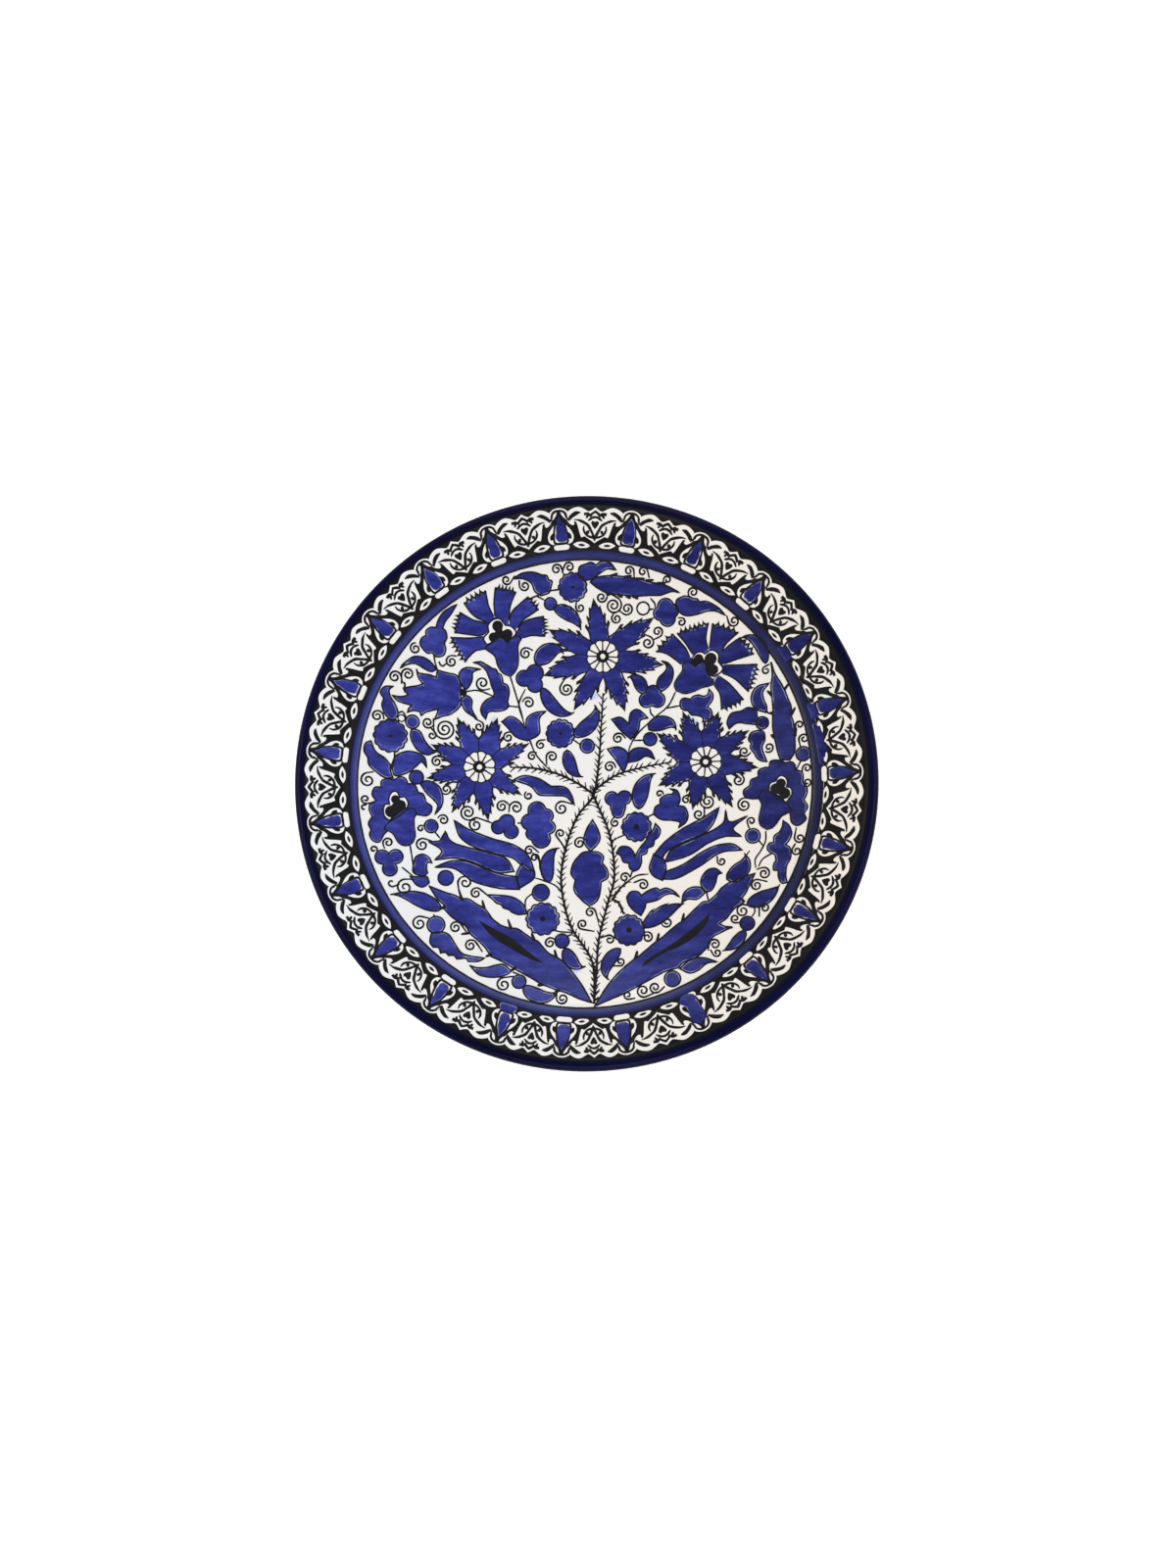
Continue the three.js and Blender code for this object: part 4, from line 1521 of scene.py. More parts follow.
# the two sword leaves at the foot of the picture, and the plain one at the right
long_leaf(
    "long_leaf_left",
    outline(
        [(-73, -48), (-67, -50.4), (-60.6, -52.4), (-58.4, -54)],
        [(-55, -53.8), (-50.8, -56.4), (-47.8, -58)],
        [(-46.2, -59.6), (-43.6, -63.2), (-40, -66), (-35.6, -67.6)],
        [(-32.2, -67.8), (-28, -70.6), (-24.8, -72.8)], [(-22.4, -74), (-18, -79), (-14, -81.2)],
        [(-10.8, -83.4), (-6.6, -88.4), (-2.4, -94.2), (2.6, -103)],
        [(-3.6, -101), (-9.4, -98.2), (-13.6, -97)], [(-17.8, -95.2), (-20.2, -94.4)],
        [(-27.6, -90), (-33, -87)], [(-39, -83.4), (-44, -81.2)], [(-47.6, -76), (-54, -70.2)],
        [(-56.2, -66.6), (-61.8, -63), (-66.2, -58.6)], [(-65.8, -57.2), (-69.6, -53.4), (-73, -48)],
    ),
    [
        ((-57.6, -54.8), (-59.4, -49.6)), ((-47.6, -58.2), (-48.4, -54.8)), ((-35, -68), (-36.4, -63.8)),
        ((-24.4, -73), (-25.4, -70.2)), ((-14, -81.4), (-14.8, -78.2)), ((-65.4, -57.8), (-67.8, -58.6)),
        ((-53.8, -70), (-57.4, -70.6)), ((-43.6, -80), (-46, -81)), ((-32.6, -86.2), (-34.4, -87.6)),
        ((-19.8, -94.4), (-22, -94.6)), ((-12.4, -97), (-14.2, -98)),
    ],
    outline(
        [(-50.4, -63.8), (-43.6, -67.4), (-35, -72.2), (-27.2, -78.4), (-19.4, -84.6)],
        [(-27.2, -81.6), (-36.4, -76.4), (-44.2, -71), (-50.4, -63.8)],
    ),
)
long_leaf(
    "long_leaf_right",
    outline(
        [(77.8, -42.8), (71, -45), (65.4, -47.2), (62.2, -49.4)], [(59.2, -53), (56, -55.6)],
        [(53.6, -55.8), (49.8, -59.2), (45.4, -63.6)], [(44, -64.6), (39.8, -67.8), (33.6, -73.2)],
        [(32.4, -73.8), (28.6, -77), (23.4, -81.6)],
        [(22.2, -82.2), (18.2, -85.4), (13.2, -90.4), (8.8, -96.2), (3.8, -104.6)],
        [(9.8, -102), (18.2, -98.2), (28.8, -92.4), (35.8, -88.6), (42, -86.8)],
        [(44.6, -84.2), (49.8, -82.4), (52.6, -80.4)],
        [(56.2, -76.6), (58, -72.6), (61.6, -70.6), (66.6, -68.2)], [(63.8, -67.6), (61, -66.2)],
        [(64.2, -64), (68, -59.4), (72.4, -56.4)],
        [(71.6, -54.6), (73.4, -52), (75.4, -48), (77.8, -42.8)],
    ),
    [
        ((44.2, -64.6), (44.8, -61.4)), ((32.6, -73.8), (33.2, -70.6)), ((22.4, -82.2), (23.2, -79)),
        ((22.8, -82), (23.2, -79)), ((72.8, -56.4), (71.4, -54.6)), ((63.8, -68), (66.8, -68.2)),
    ],
    outline(
        [(25, -86.4), (27.8, -82.8), (34.8, -78.2), (41.8, -73.6), (49, -68), (54, -63.8), (57, -60.4)],
        [(55.4, -66), (50, -72), (43, -76.6), (35.6, -79.6), (30, -83.2), (25, -86.4)],
    ),
)
long_leaf(
    "side_leaf",
    outline(
        [(86, 56), (87.8, 50.6), (90.4, 46.2), (92.4, 42.2)], [(93.6, 39), (95.2, 34.6), (95.2, 30.4)],
        [(96.2, 27.2), (96.8, 20.8), (96.6, 13.8), (94.4, 10)], [(90.2, 10.2)],
        [(88.8, 14.2), (87.4, 21)], [(86.6, 26.4), (86.8, 34.2), (86.2, 41.4)],
        [(86, 45), (86.6, 50.6), (86, 56)],
    ),
    [
        ((92, 42.6), (93.8, 45)), ((95.2, 31), (96.8, 33.8)), ((96.8, 20.8), (97.4, 24.4)),
        ((87.6, 20.6), (86.2, 22)), ((86.4, 40.6), (84.6, 42.4)), ((86.8, 32.2), (85.6, 32.4)),
    ],
)

# the lily, the bud in the middle and the leaf under the ring at the top
petalled(
    "lily",
    [
        [(-59.4, 43.6), (-59.2, 46.8), (-60, 50.4), (-61.8, 52.2), (-65.4, 52.8), (-69.8, 54)],
        [(-70.2, 52.4), (-70.4, 50.6)], [(-73.4, 51.6), (-76.4, 52), (-78.8, 52.4), (-79.6, 54.2)],
        [(-79, 51.4), (-78.2, 49.4), (-76.6, 47.4)], [(-79.2, 46.4), (-82.2, 45.8), (-85.6, 45)],
        [(-85, 43.6), (-83.4, 42.2)], [(-85.4, 41.2), (-88, 41), (-90.6, 41.4)],
        [(-88.6, 39.2), (-85.8, 38.2), (-81.8, 37.2)], [(-83.2, 35.6), (-83.8, 33.8)],
        [(-81.4, 34.8), (-78, 34.4)], [(-77.8, 33.6), (-77.4, 32.6)],
        [(-75.4, 34.2), (-72.4, 35.2), (-69.4, 35.8)], [(-70.2, 33.6), (-71.2, 31)],
        [(-67.6, 32.6), (-64, 33.6), (-60.6, 36.2), (-59, 39), (-59.4, 43.6)],
    ],
    [
        [(-58.5, 47), (-60, 52), (-57, 55.5), (-50, 55)],
        [(-53.5, 53.5), (-54, 49.5), (-56.5, 45.5), (-58.5, 47)],
    ],
    [
        [(-59.5, 40.5), (-57, 35.5), (-51.5, 31.5)],
        [(-54, 36), (-54, 40.5), (-56.5, 42.5), (-59.5, 40.5)],
    ],
)
fill(ink, [circle((-58, 44), 1.7)], rise=0.06, lift=0.14, bevel=0.4)
petalled(
    "centre_bud",
    [
        [(2.5, -16), (-0.5, -21), (-1.5, -26.5), (1.5, -31)], [(5.5, -26.5), (5.5, -22), (2.5, -16)],
    ],
    [
        [(2, -31), (-2, -31.5), (-5.5, -35)], [(-7, -38), (-7.5, -41.5), (-5.5, -44.5)],
        [(-6, -49.5), (-2.5, -54), (1, -57)], [(4.5, -54.5), (6, -50.5), (6.5, -45.5)],
        [(9.5, -43.5), (9.5, -40), (7, -36.5)], [(7.5, -33.5), (5.5, -31.5), (2, -31)],
    ],
)
long_leaf(
    "top_leaf",
    outline(
        [(1.8, 95.2), (3.8, 97), (7.2, 97.8), (12.8, 98), (19.2, 97.2), (25.2, 96.2)],
        [(30.2, 94.6), (35, 93.8), (39, 92.2), (43.4, 89.6)],
        [(40, 90.2), (34.8, 88.8), (29.4, 88.8), (22.8, 88.6), (16.4, 89.4)],
        [(10, 90.2), (5.8, 92.2), (1.8, 95.2)],
    ),
    [
        ((11.2, 97.8), (14.2, 98.8)), ((17.4, 97.2), (20.8, 97.8)), ((23.4, 96.4), (26.8, 96.4)),
        ((27.8, 95.4), (31, 95.6)), ((33.2, 94), (37, 94.2)), ((14.6, 89.6), (16.4, 88.6)),
        ((18.4, 89), (20.2, 88)), ((21.4, 88.8), (23.8, 87.6)), ((9.2, 90.2), (10.6, 89.6)),
    ],
)

# small motifs round the left carnation, the lily and the left star
blossom(
    [(-34.4, 96.6), (-29.8, 99.2), (-24.8, 99.6), (-20.8, 98.4)], [(-18.6, 98.2), (-17.8, 96.2)],
    [(-16.2, 95.6), (-16.8, 92.8)], [(-17.8, 90.4), (-21.4, 89.2)],
    [(-24.2, 91), (-25.8, 94.6), (-29.4, 96.6), (-34.4, 96.6)],
)
rosette((-6.5, 93), 6.7)
blossom(
    [(-3.8, 98.2), (-3.2, 102), (-0.2, 103.4)], [(2.2, 104), (4.6, 102.8)],
    [(7.2, 104.4), (11, 103.8), (13.8, 100.6)], [(9.6, 101), (6, 99), (3, 96.8), (-0.4, 96)],
    [(-2.6, 97), (-3.8, 98.2)],
)
berry((-17, 85.5), 2.8)
leaf((-15.5, 84), (-3, 74.5), 5.7, bend=0.06, teeth=(5, 0))
stem((-13, 92), (-19, 91), (-23.5, 89), (-29, 87))
stem((-23.5, 89), (-19.5, 87))
blossom(
    [(-60.8, 84.2), (-64, 82.6), (-67.6, 79.8), (-69.6, 76.2), (-70.4, 73.4)],
    [(-73, 73.4), (-75, 71.8), (-75, 69.6)], [(-77, 68.4), (-77.8, 65.6), (-76.4, 63.2)],
    [(-74.4, 61.6), (-72.4, 62)], [(-70.2, 60.2), (-67, 61), (-66, 64)],
    [(-66.6, 66.6), (-65.4, 69.2), (-66, 72), (-67.4, 73.2)],
    [(-66.2, 76.4), (-63.8, 79.4), (-60.8, 84.2)],
)
stem((-71.5, 61), (-71, 57.5), (-69.5, 52.5))
painted(leaves, outline(
    [(-87, 54.2), (-84.2, 57.4), (-80.4, 59.8), (-76.4, 59.6), (-73, 57.6), (-70.4, 54.2)],
    [(-72.8, 53.2), (-75.6, 54.2), (-78.2, 55.8), (-81, 56.6), (-84.2, 55.8), (-87, 54.2)],
))
stem((-86.6, 54.2), (-85.8, 55.8), (-84.2, 57.4), width=1.2, taper=(0.7, 0.5))
stem((-69.2, 58), (-68.6, 56.6), (-67.4, 56), (-65.8, 57.2), width=0.95)
blossom(
    [(-53.2, 58), (-49.8, 58.4), (-47.4, 57.2), (-44.4, 55.4)], [(-42.8, 55), (-41.8, 53.2)],
    [(-40.2, 52.2), (-39.4, 48.6)], [(-37.4, 47.6), (-36.6, 45), (-36.8, 42.4), (-37.4, 39.8)],
    [(-36.8, 38), (-38.6, 36.2), (-41.8, 35.4), (-44.8, 35.4), (-46.6, 34.6), (-47.6, 31.6)],
    [(-49.4, 34), (-49.8, 36.6), (-48.6, 39.2), (-46.4, 41.2), (-44, 42.2)],
    [(-43.6, 44.2), (-44.8, 47.4), (-45.8, 50.8), (-47.6, 54.8), (-50.2, 57), (-53.2, 58)],
)
stem((-37.5, 38), (-32, 37.5))
stem((-56.5, 44.5), (-51, 45), (-44, 42.5))
stem((-36, 51.5), (-33.5, 43.5), (-31, 35), (-29.5, 29))
cluster((-24.5, 53.5, 3.9), (-29.5, 51, 3.7), (-24.5, 48, 3.5))
leaf((-22.5, 57), (-11.5, 63.5), 8.1, bend=0.27)
leaf((-21, 46.5), (-7, 34.5), 5.9, bend=-0.12)
stem((-30.5, 32.5), (-32, 39), (-29, 46))
blossom(
    [(-28, 21.5), (-33.5, 23.5), (-37.5, 28), (-40, 30.5)], [(-36, 33), (-32, 31), (-29, 27.5)],
    [(-28, 32.5), (-24, 35), (-19.5, 35.5)], [(-22.5, 32), (-22.5, 25), (-28, 21.5)],
)
stem((-27, 22), (-24, 15), (-18, 8))
rosette((-12.5, 25), 6.8)
leaf((-6.5, 24), (4, 37.5), 6.8, bend=-0.1)
berry((0, 19), 3.3)
stem((-6.5, 22), (-3, 19.5))
leaf((-9.5, 17), (-3, 4.5), 5.7, bend=-0.08)
blossom(
    [(-91.8, 30), (-94.2, 33), (-95.4, 36.6), (-94.6, 39.8)],
    [(-96, 42.6), (-94.2, 45.2), (-90.2, 45.6)],
    [(-92.2, 43.8), (-91.4, 40.6), (-89.2, 37), (-88.2, 33), (-89.4, 30.4)], [(-91.8, 30)],
)
stroke(ink, circle((-86.5, 31), 1.6, 0.3), 0.7, closed=True)
rosette((-91.5, 22.5), 7.8)
berry((-81.5, 29.5), 3.1)
blossom(
    [(-81.8, 26.2), (-78.2, 25.2), (-75.2, 20), (-71, 15.6)],
    [(-74.6, 14.2), (-78.8, 16.2), (-81.6, 20.2), (-82.4, 23.6), (-81.8, 26.2)],
)
stem((-88.5, 33), (-86, 34), (-84, 31))
stem((-89.5, 15.5), (-90, 9), (-91.5, 6.5))
blossom(
    [(-91.6, 9), (-94.4, 12.2), (-98.2, 14.8), (-100.4, 19.6)],
    [(-102.8, 18.4), (-103.4, 14.8), (-101.6, 11.8)],
    [(-101.2, 8.4), (-98, 5.4), (-94, 2.8), (-90.2, 2.8)], [(-91.4, 6), (-91.6, 9)],
)
blossom(
    [(-91, 8.6), (-89, 13.2), (-84.4, 15.4), (-79.8, 15.2), (-76, 13), (-74.8, 8.2)],
    [(-77.2, 10.8), (-79.8, 8.6), (-82.8, 6), (-87, 4.2), (-89.6, 4.2), (-91, 8.6)],
)
berry((-79.5, 3.5), 3.2)
blossom(
    [(-77.8, 0.6), (-74.4, 2), (-69.4, -0.2), (-67.4, -5), (-67.8, -9.8), (-70.8, -13.8)],
    [(-69.6, -9.8), (-71.4, -7), (-75, -3.6), (-77.8, 0.6)],
)

# small motifs round the top star, the right carnation and the right star
stroke(ink, circle((26.5, 83), 2.9, 0.4), 0.9, closed=True)
stem((29.5, 82.5), (31.5, 82.5))
stem((30, 87.5), (32, 85), (32, 83))
cluster((37, 83.5, 3.7), (34.5, 80.5, 3.1), (38, 78, 3.5), (40, 81.5, 3.1))
blossom(
    [(42, 82.2), (42.2, 86.2), (45.8, 88)], [(48.2, 87.6), (50, 86.6)], [(51.8, 86.4), (52.8, 85)],
    [(56.4, 85), (61.4, 82.2), (65, 78.4)],
    [(60.2, 80.6), (56, 80.6), (51.4, 79.4), (46, 79.2), (42, 82.2)],
)
leaf((83.5, 55.5), (73, 68), 4.8, bend=-0.16)
blossom(
    [(43.6, 38), (44, 40), (45.6, 41), (48.4, 40.4)],
    [(50, 41.8), (52.2, 42.2), (54.6, 41.6), (56.6, 42.4), (57.2, 44.8)],
    [(58.8, 42.6), (58.8, 40), (57.4, 37.8), (56.2, 36.6)],
    [(58, 35.2), (58.4, 32.8), (57, 30.2), (54, 29.6)],
    [(54.4, 31), (53.4, 32.2), (51.4, 32.8), (49, 33), (47.4, 35)],
    [(45.2, 35.4), (44, 36.6), (43.6, 38)],
)
leaf((26.5, 43.5), (20, 51.5), 5.7, bend=-0.12)
cluster((31, 44, 3.3), (28, 40.5, 3.5), (33, 40.5, 3.5))
painted(leaves, outline(
    [(35, 58.6), (38, 57.6), (40.2, 54.8), (40.2, 50.8), (38.2, 46.8), (35, 44.4)],
    [(33.2, 46.2), (32.8, 48.6), (33.8, 51), (36, 53), (37.4, 55), (37, 57), (35, 58.6)],
))
stem((35.2, 58.6), (37.2, 57.4), (38.2, 55.8), width=1.3, taper=(0.5, 0.5))
stem((29.5, 36.5), (30, 34), (32, 32))
stem((41.5, 44), (38, 37.5), (31.5, 32), (24, 25), (20, 18.5), (19, 12))
stem((37.5, 36.5), (43.5, 37.5))
leaf((29, 26.5), (41.5, 27), 6.5, bend=0.2)
blossom(
    [(20.5, 22), (16, 26), (11.5, 31.5)], [(15.5, 32.5), (19.5, 29.5)],
    [(20.5, 34.5), (24, 36), (28.5, 32)], [(25, 31), (24, 26.5), (20.5, 22)],
)
berry((29.5, 22), 3.1)
stem((22, 21.5), (26.5, 21.5))
blossom(
    [(17, 6.5), (13.5, 12), (9.5, 17.5)], [(14.5, 18.5), (18.5, 16), (19, 11.5), (17, 6.5)],
)
blossom(
    [(19, 11), (20.5, 16.5), (25, 18), (29.5, 16.5), (31.5, 12.5)], [(27.5, 14), (24, 12), (19, 11)],
)
blossom(
    [(85, 46.2), (80.4, 45.4), (77.6, 42.8), (76.8, 38.6), (78.8, 34.8), (83.4, 32.8)],
    [(84, 35.2), (82.6, 38.8), (82.2, 42.4), (85, 46.2)],
)
blossom(
    [(81.5, 27), (79.5, 31), (79, 34), (75.5, 35.5), (72, 34)], [(67.5, 33), (65.5, 29), (66.5, 26)],
    [(70, 28.5), (75, 28), (81.5, 27)],
)
berry((81.8, 28), 2.9)
blossom(
    [(79.6, 24.6), (76.6, 23.6), (75.4, 20.6), (76.8, 18.8)], [(76.2, 16.6), (78.2, 13.8)],
    [(79.2, 11.8), (81.4, 10.2), (83.8, 9.8)],
    [(82.6, 13), (81.6, 16.6), (83, 20.2), (82.4, 23.8), (79.6, 24.6)],
)
stem((84, 34), (84.5, 32.5), (87, 32))
berry((100.5, 12.5), 3.3)
stem((99.5, 9.5), (97.5, 5.5))

# small motifs below the left star and round the left tulip and sword leaf
blossom(
    [(-34.5, 3), (-29.5, 5), (-22.5, 3.5), (-17, 0)], [(-10.5, -0.5), (-7.5, -4), (-6, -9)],
    [(-10, -5), (-15.5, -4.5), (-22.5, -4), (-26.5, 0), (-34.5, 3)],
)
cluster((-37.5, -17, 3.5), (-41.5, -19.5, 3.1), (-35.5, -21.5, 3.3))
cluster(
    (-23.5, -11.5, 4.1), (-27, -17, 3.7), (-19, -14, 3.1), (-18, -19.5, 3.1),
    (-25.5, -22.5, 3), (-21.5, -25, 4.3),
)
stem((-32.5, -17.5), (-30.5, -17.5))
berry((-72.5, -19.5), 3.1)
stem((-71, -22), (-68.5, -25))
blossom(
    [(-80.2, -37.2), (-79.2, -34.2), (-76, -33), (-73.2, -34.6), (-72, -37)],
    [(-74, -36.8), (-74.4, -39.4), (-73.8, -41.8)],
    [(-76, -43.4), (-79.4, -42.4), (-80.6, -40.8), (-80.2, -37.2)],
)
blossom(
    [(-81.8, -43.6), (-78, -43.8), (-74.2, -43.6), (-73, -46.4)],
    [(-75.8, -48.6), (-79, -47.4), (-81.8, -43.6)],
)
stem((-82, -29), (-81, -35), (-80, -41.5))
stem((-85.5, -39.5), (-83, -41.5), (-80.5, -43.5))
cluster((-94.5, -35, 3.3), (-88.5, -34.5, 3.3), (-91, -40.5, 3.3))
berry((-65.5, -44), 3.5)
berry((-21.5, -50.5), 3.9)
stem((-25.5, -51), (-28.5, -54), (-28.5, -59.5))
blossom(
    [(-46.2, -51.8), (-41.8, -51.8), (-36, -52.4), (-31.4, -54.4), (-28.6, -58), (-28.2, -60.6)],
    [(-31.8, -61), (-35, -59.8)], [(-36, -58.8), (-38.8, -57.8)], [(-39.8, -56.4), (-42, -55.6)],
    [(-43.8, -53.8), (-46.2, -51.8)],
)
rosette((-20.5, -63), 7.8, heart=True)
leaf((-17.5, -45.5), (-14, -29.5), 6.1, bend=0.12)
stem((-11.5, -50.5), (-15, -47), (-21, -44.5), (-24.5, -43.5))
stem((-25.5, -31.5), (-22.5, -35), (-22, -39.5))
leaf((-67.5, -59), (-89.5, -52.5), 7, bend=-0.04, full=0.32)
stem((-70.5, -61.5), (-70.5, -63))
berry((-69.5, -66.5), 4)
blossom(
    [(-71.4, -70.4), (-67.2, -69.8), (-63.4, -71.2), (-60.4, -75.8), (-56.6, -80.2), (-47, -82)],
    [(-50.2, -83.6), (-54.4, -83.6)], [(-55.4, -82.2), (-59.6, -82.6)], [(-61, -81), (-63.4, -81)],
    [(-64.8, -79.6), (-67, -79.8)], [(-68, -77.4), (-70.4, -77.2)], [(-72, -74.6), (-71.4, -70.4)],
)
blossom(
    [(-53.6, -85.6), (-50, -86.6), (-45.8, -86.4), (-41.8, -85.2), (-38.2, -85), (-34.6, -88)],
    [(-37, -89.8), (-41.6, -91), (-46.4, -90.8), (-50, -89.4), (-53.6, -85.6)],
)
berry((-31, -93), 3.2)
leaf((-28.5, -95), (-14, -98), 6.5, bend=-0.2)
stem((-34, -88.5), (-31, -89.5))
berry((-11.5, -73.5), 3.3)
leaf((-10, -77), (-1.5, -86), 6.1, bend=-0.1)
stem((-6.5, -69.5), (-13, -69), (-17, -67.5))
stem((-9.5, -71.5), (-6.5, -70))

# small motifs below the right star and round the right tulip and sword leaf
cluster((11.6, -6, 3.2), (17.4, -5.6, 3.2), (14.4, -10, 3.5), (14.4, -12.4, 2.8))
leaf((24, -11), (31, 5.5), 7.2, bend=0.08)
rosette((23, -19.5), 7, heart=True)
stem((11, -26.5), (14.5, -24.5), (17, -23.5))
blossom(
    [(31, -13.6), (31.8, -10.2), (34.2, -8.8)], [(34.2, -6.4), (36.8, -4.6), (39.8, -4.2)],
    [(40.4, -2.6), (38.6, -1.6)], [(42, -2.6), (43.4, -6.4), (42.4, -9.8)],
    [(45.4, -10.4), (47, -14), (46, -17.6), (42.6, -20.2)],
    [(43.2, -17.6), (39.2, -16.6), (34.6, -16.2), (31, -13.6)],
)
stem((31, -13.5), (28, -15))
blossom(
    [(21.6, -40.6), (19.8, -39), (19.4, -36.6)], [(16.8, -36), (15.6, -33.2), (13.6, -31.8)],
    [(15.6, -29), (19.2, -29), (21.6, -31.6), (22.2, -34)], [(23.6, -31), (25.2, -28.6)],
    [(27.4, -26), (28.8, -23.2)], [(30.6, -21.4), (31.8, -18)], [(34, -21), (33.4, -24), (31.2, -26)],
    [(30.8, -28.4), (28.2, -29.6)], [(27.6, -32), (25.2, -33)],
    [(25.2, -36.4), (24, -39.4), (21.6, -40.6)],
)
stem((21, -40.5), (20, -43.5))
berry((77, -25), 3.4)
stem((83, -23), (82.8, -27.6), (80.6, -32.2), (78, -36.2), (78.2, -40.2))
stem((79.8, -27.4), (81.4, -29.6))
stem((85.4, -33.8), (81.4, -36.2), (79.4, -39.8))
blossom(
    [(91, -18.4), (93.6, -20.8), (94.8, -24.6), (93.4, -28.2), (91.8, -29.8)],
    [(94, -31.6), (94.2, -36.2), (92.4, -39.6), (91.8, -44), (92.4, -47.8)],
    [(90, -48), (88.6, -45.2), (88.4, -41.8)], [(86.4, -41.6), (86.4, -39), (87.6, -37.2)],
    [(87, -34.4), (85.4, -33.6)], [(83.6, -31.6), (84.4, -29), (86.6, -28.6)],
    [(86.8, -25.6), (89.2, -23.8)], [(90.6, -21.4), (91, -18.4)],
)
leaf((64.8, -45), (73.6, -34), 7.6, bend=-0.12)
stem((73.5, -34.5), (75.5, -32), width=0.7)
blossom(
    [(55.4, -51), (53, -48), (53.2, -44.2), (56.2, -40.4), (59.8, -40), (62.4, -42.2)],
    [(60.6, -43), (59.6, -46.8), (57.8, -50), (55.4, -51)],
)
blossom(
    [(54.8, -51.2), (52, -48.6), (47.6, -49), (44.8, -51.6), (44, -55.6)],
    [(47, -54.2), (51.2, -54.2), (54.8, -51.2)],
)
stem((55.4, -51), (56.2, -55))
leaf((74, -57.5), (88.5, -49.5), 6.7, bend=-0.04)
blossom(
    [(18.4, -52.8), (20.2, -50.4), (23.4, -50.2), (25.2, -52.2)],
    [(27.8, -50.2), (31.8, -48.6), (33.8, -49.8)], [(36.6, -48.8), (40.2, -50.2), (42.8, -53)],
    [(39.4, -51.4), (35.8, -52.2), (32.4, -54.4), (27.4, -55.6)], [(26.8, -58.2), (25, -61.6)],
    [(21.6, -59.2), (19.2, -56), (18.4, -52.8)],
)
rosette((19.5, -68.5), 7.4, heart=True)
leaf((26, -67), (44, -56.5), 6.8, bend=0.02, teeth=(3, 0))
leaf((15.5, -77.5), (9.5, -91.5), 5.7, bend=-0.12)
berry((74, -66.5), 3.3)
leaf((73, -70), (63.5, -79), 4.8, bend=0.04)
stem((77, -57.5), (77.5, -61), (76, -63.5))
blossom(
    [(42.8, -87.2), (46.8, -83.8), (51.6, -82.2), (55.8, -82.8), (60, -84.4)],
    [(55.2, -85), (51.6, -88), (47.4, -89.4), (42.8, -87.2)],
)
berry((39.5, -92), 3.7)

# the barbed stems that carry the picture
FOOT = (3.5, -103.5)
FORK = (3, -4)
feather(
    FOOT, (3.5, -90.5), (1.5, -81), (-7, -67.5), (-11, -54), (-12, -41), (-9, -25.5), (-4, -13.5),
    FORK, (5.5, 12), (6.5, 27.5), (7.5, 44),
)
feather(
    FOOT, (4.5, -88.5), (5.5, -73), (9.5, -56), (12.5, -44.5), (12, -31.5), (9.5, -20),
    FORK, (6, 0), (14.5, 5.5), (27.5, 9), (39.5, 11),
)
feather(FORK, (-4, 1), (-13, 5.5), (-24.5, 8.5), (-36, 9))
feather((11.5, -54), (15.5, -48.5), (20, -44.5), barb=1.8)
stem((20, -44.5), (23.5, -42.5), (28.5, -42))
feather((11.5, -53.5), (15, -56), (17, -61), barb=1.8)

# painted highlights: soft pale blue reflections of light in the white glaze
painted_highlight((-46.5, 20), 4.0, 2.6, 0.2)
painted_highlight((-44, 31), 3.6, 1.8, 1.2)
painted_highlight((49.2, 30.4), 5.0, 2.3, -0.7)
painted_highlight((3, 42.5), 3.6, 2.6, 0.4)
painted_highlight((60, -14), 3.8, 2.4, 0.8)
painted_highlight((-6, -87.5), 4.5, 2.6, 0.5)
painted_highlight((-16.5, 70.5), 4.4, 2.0, 0.9)

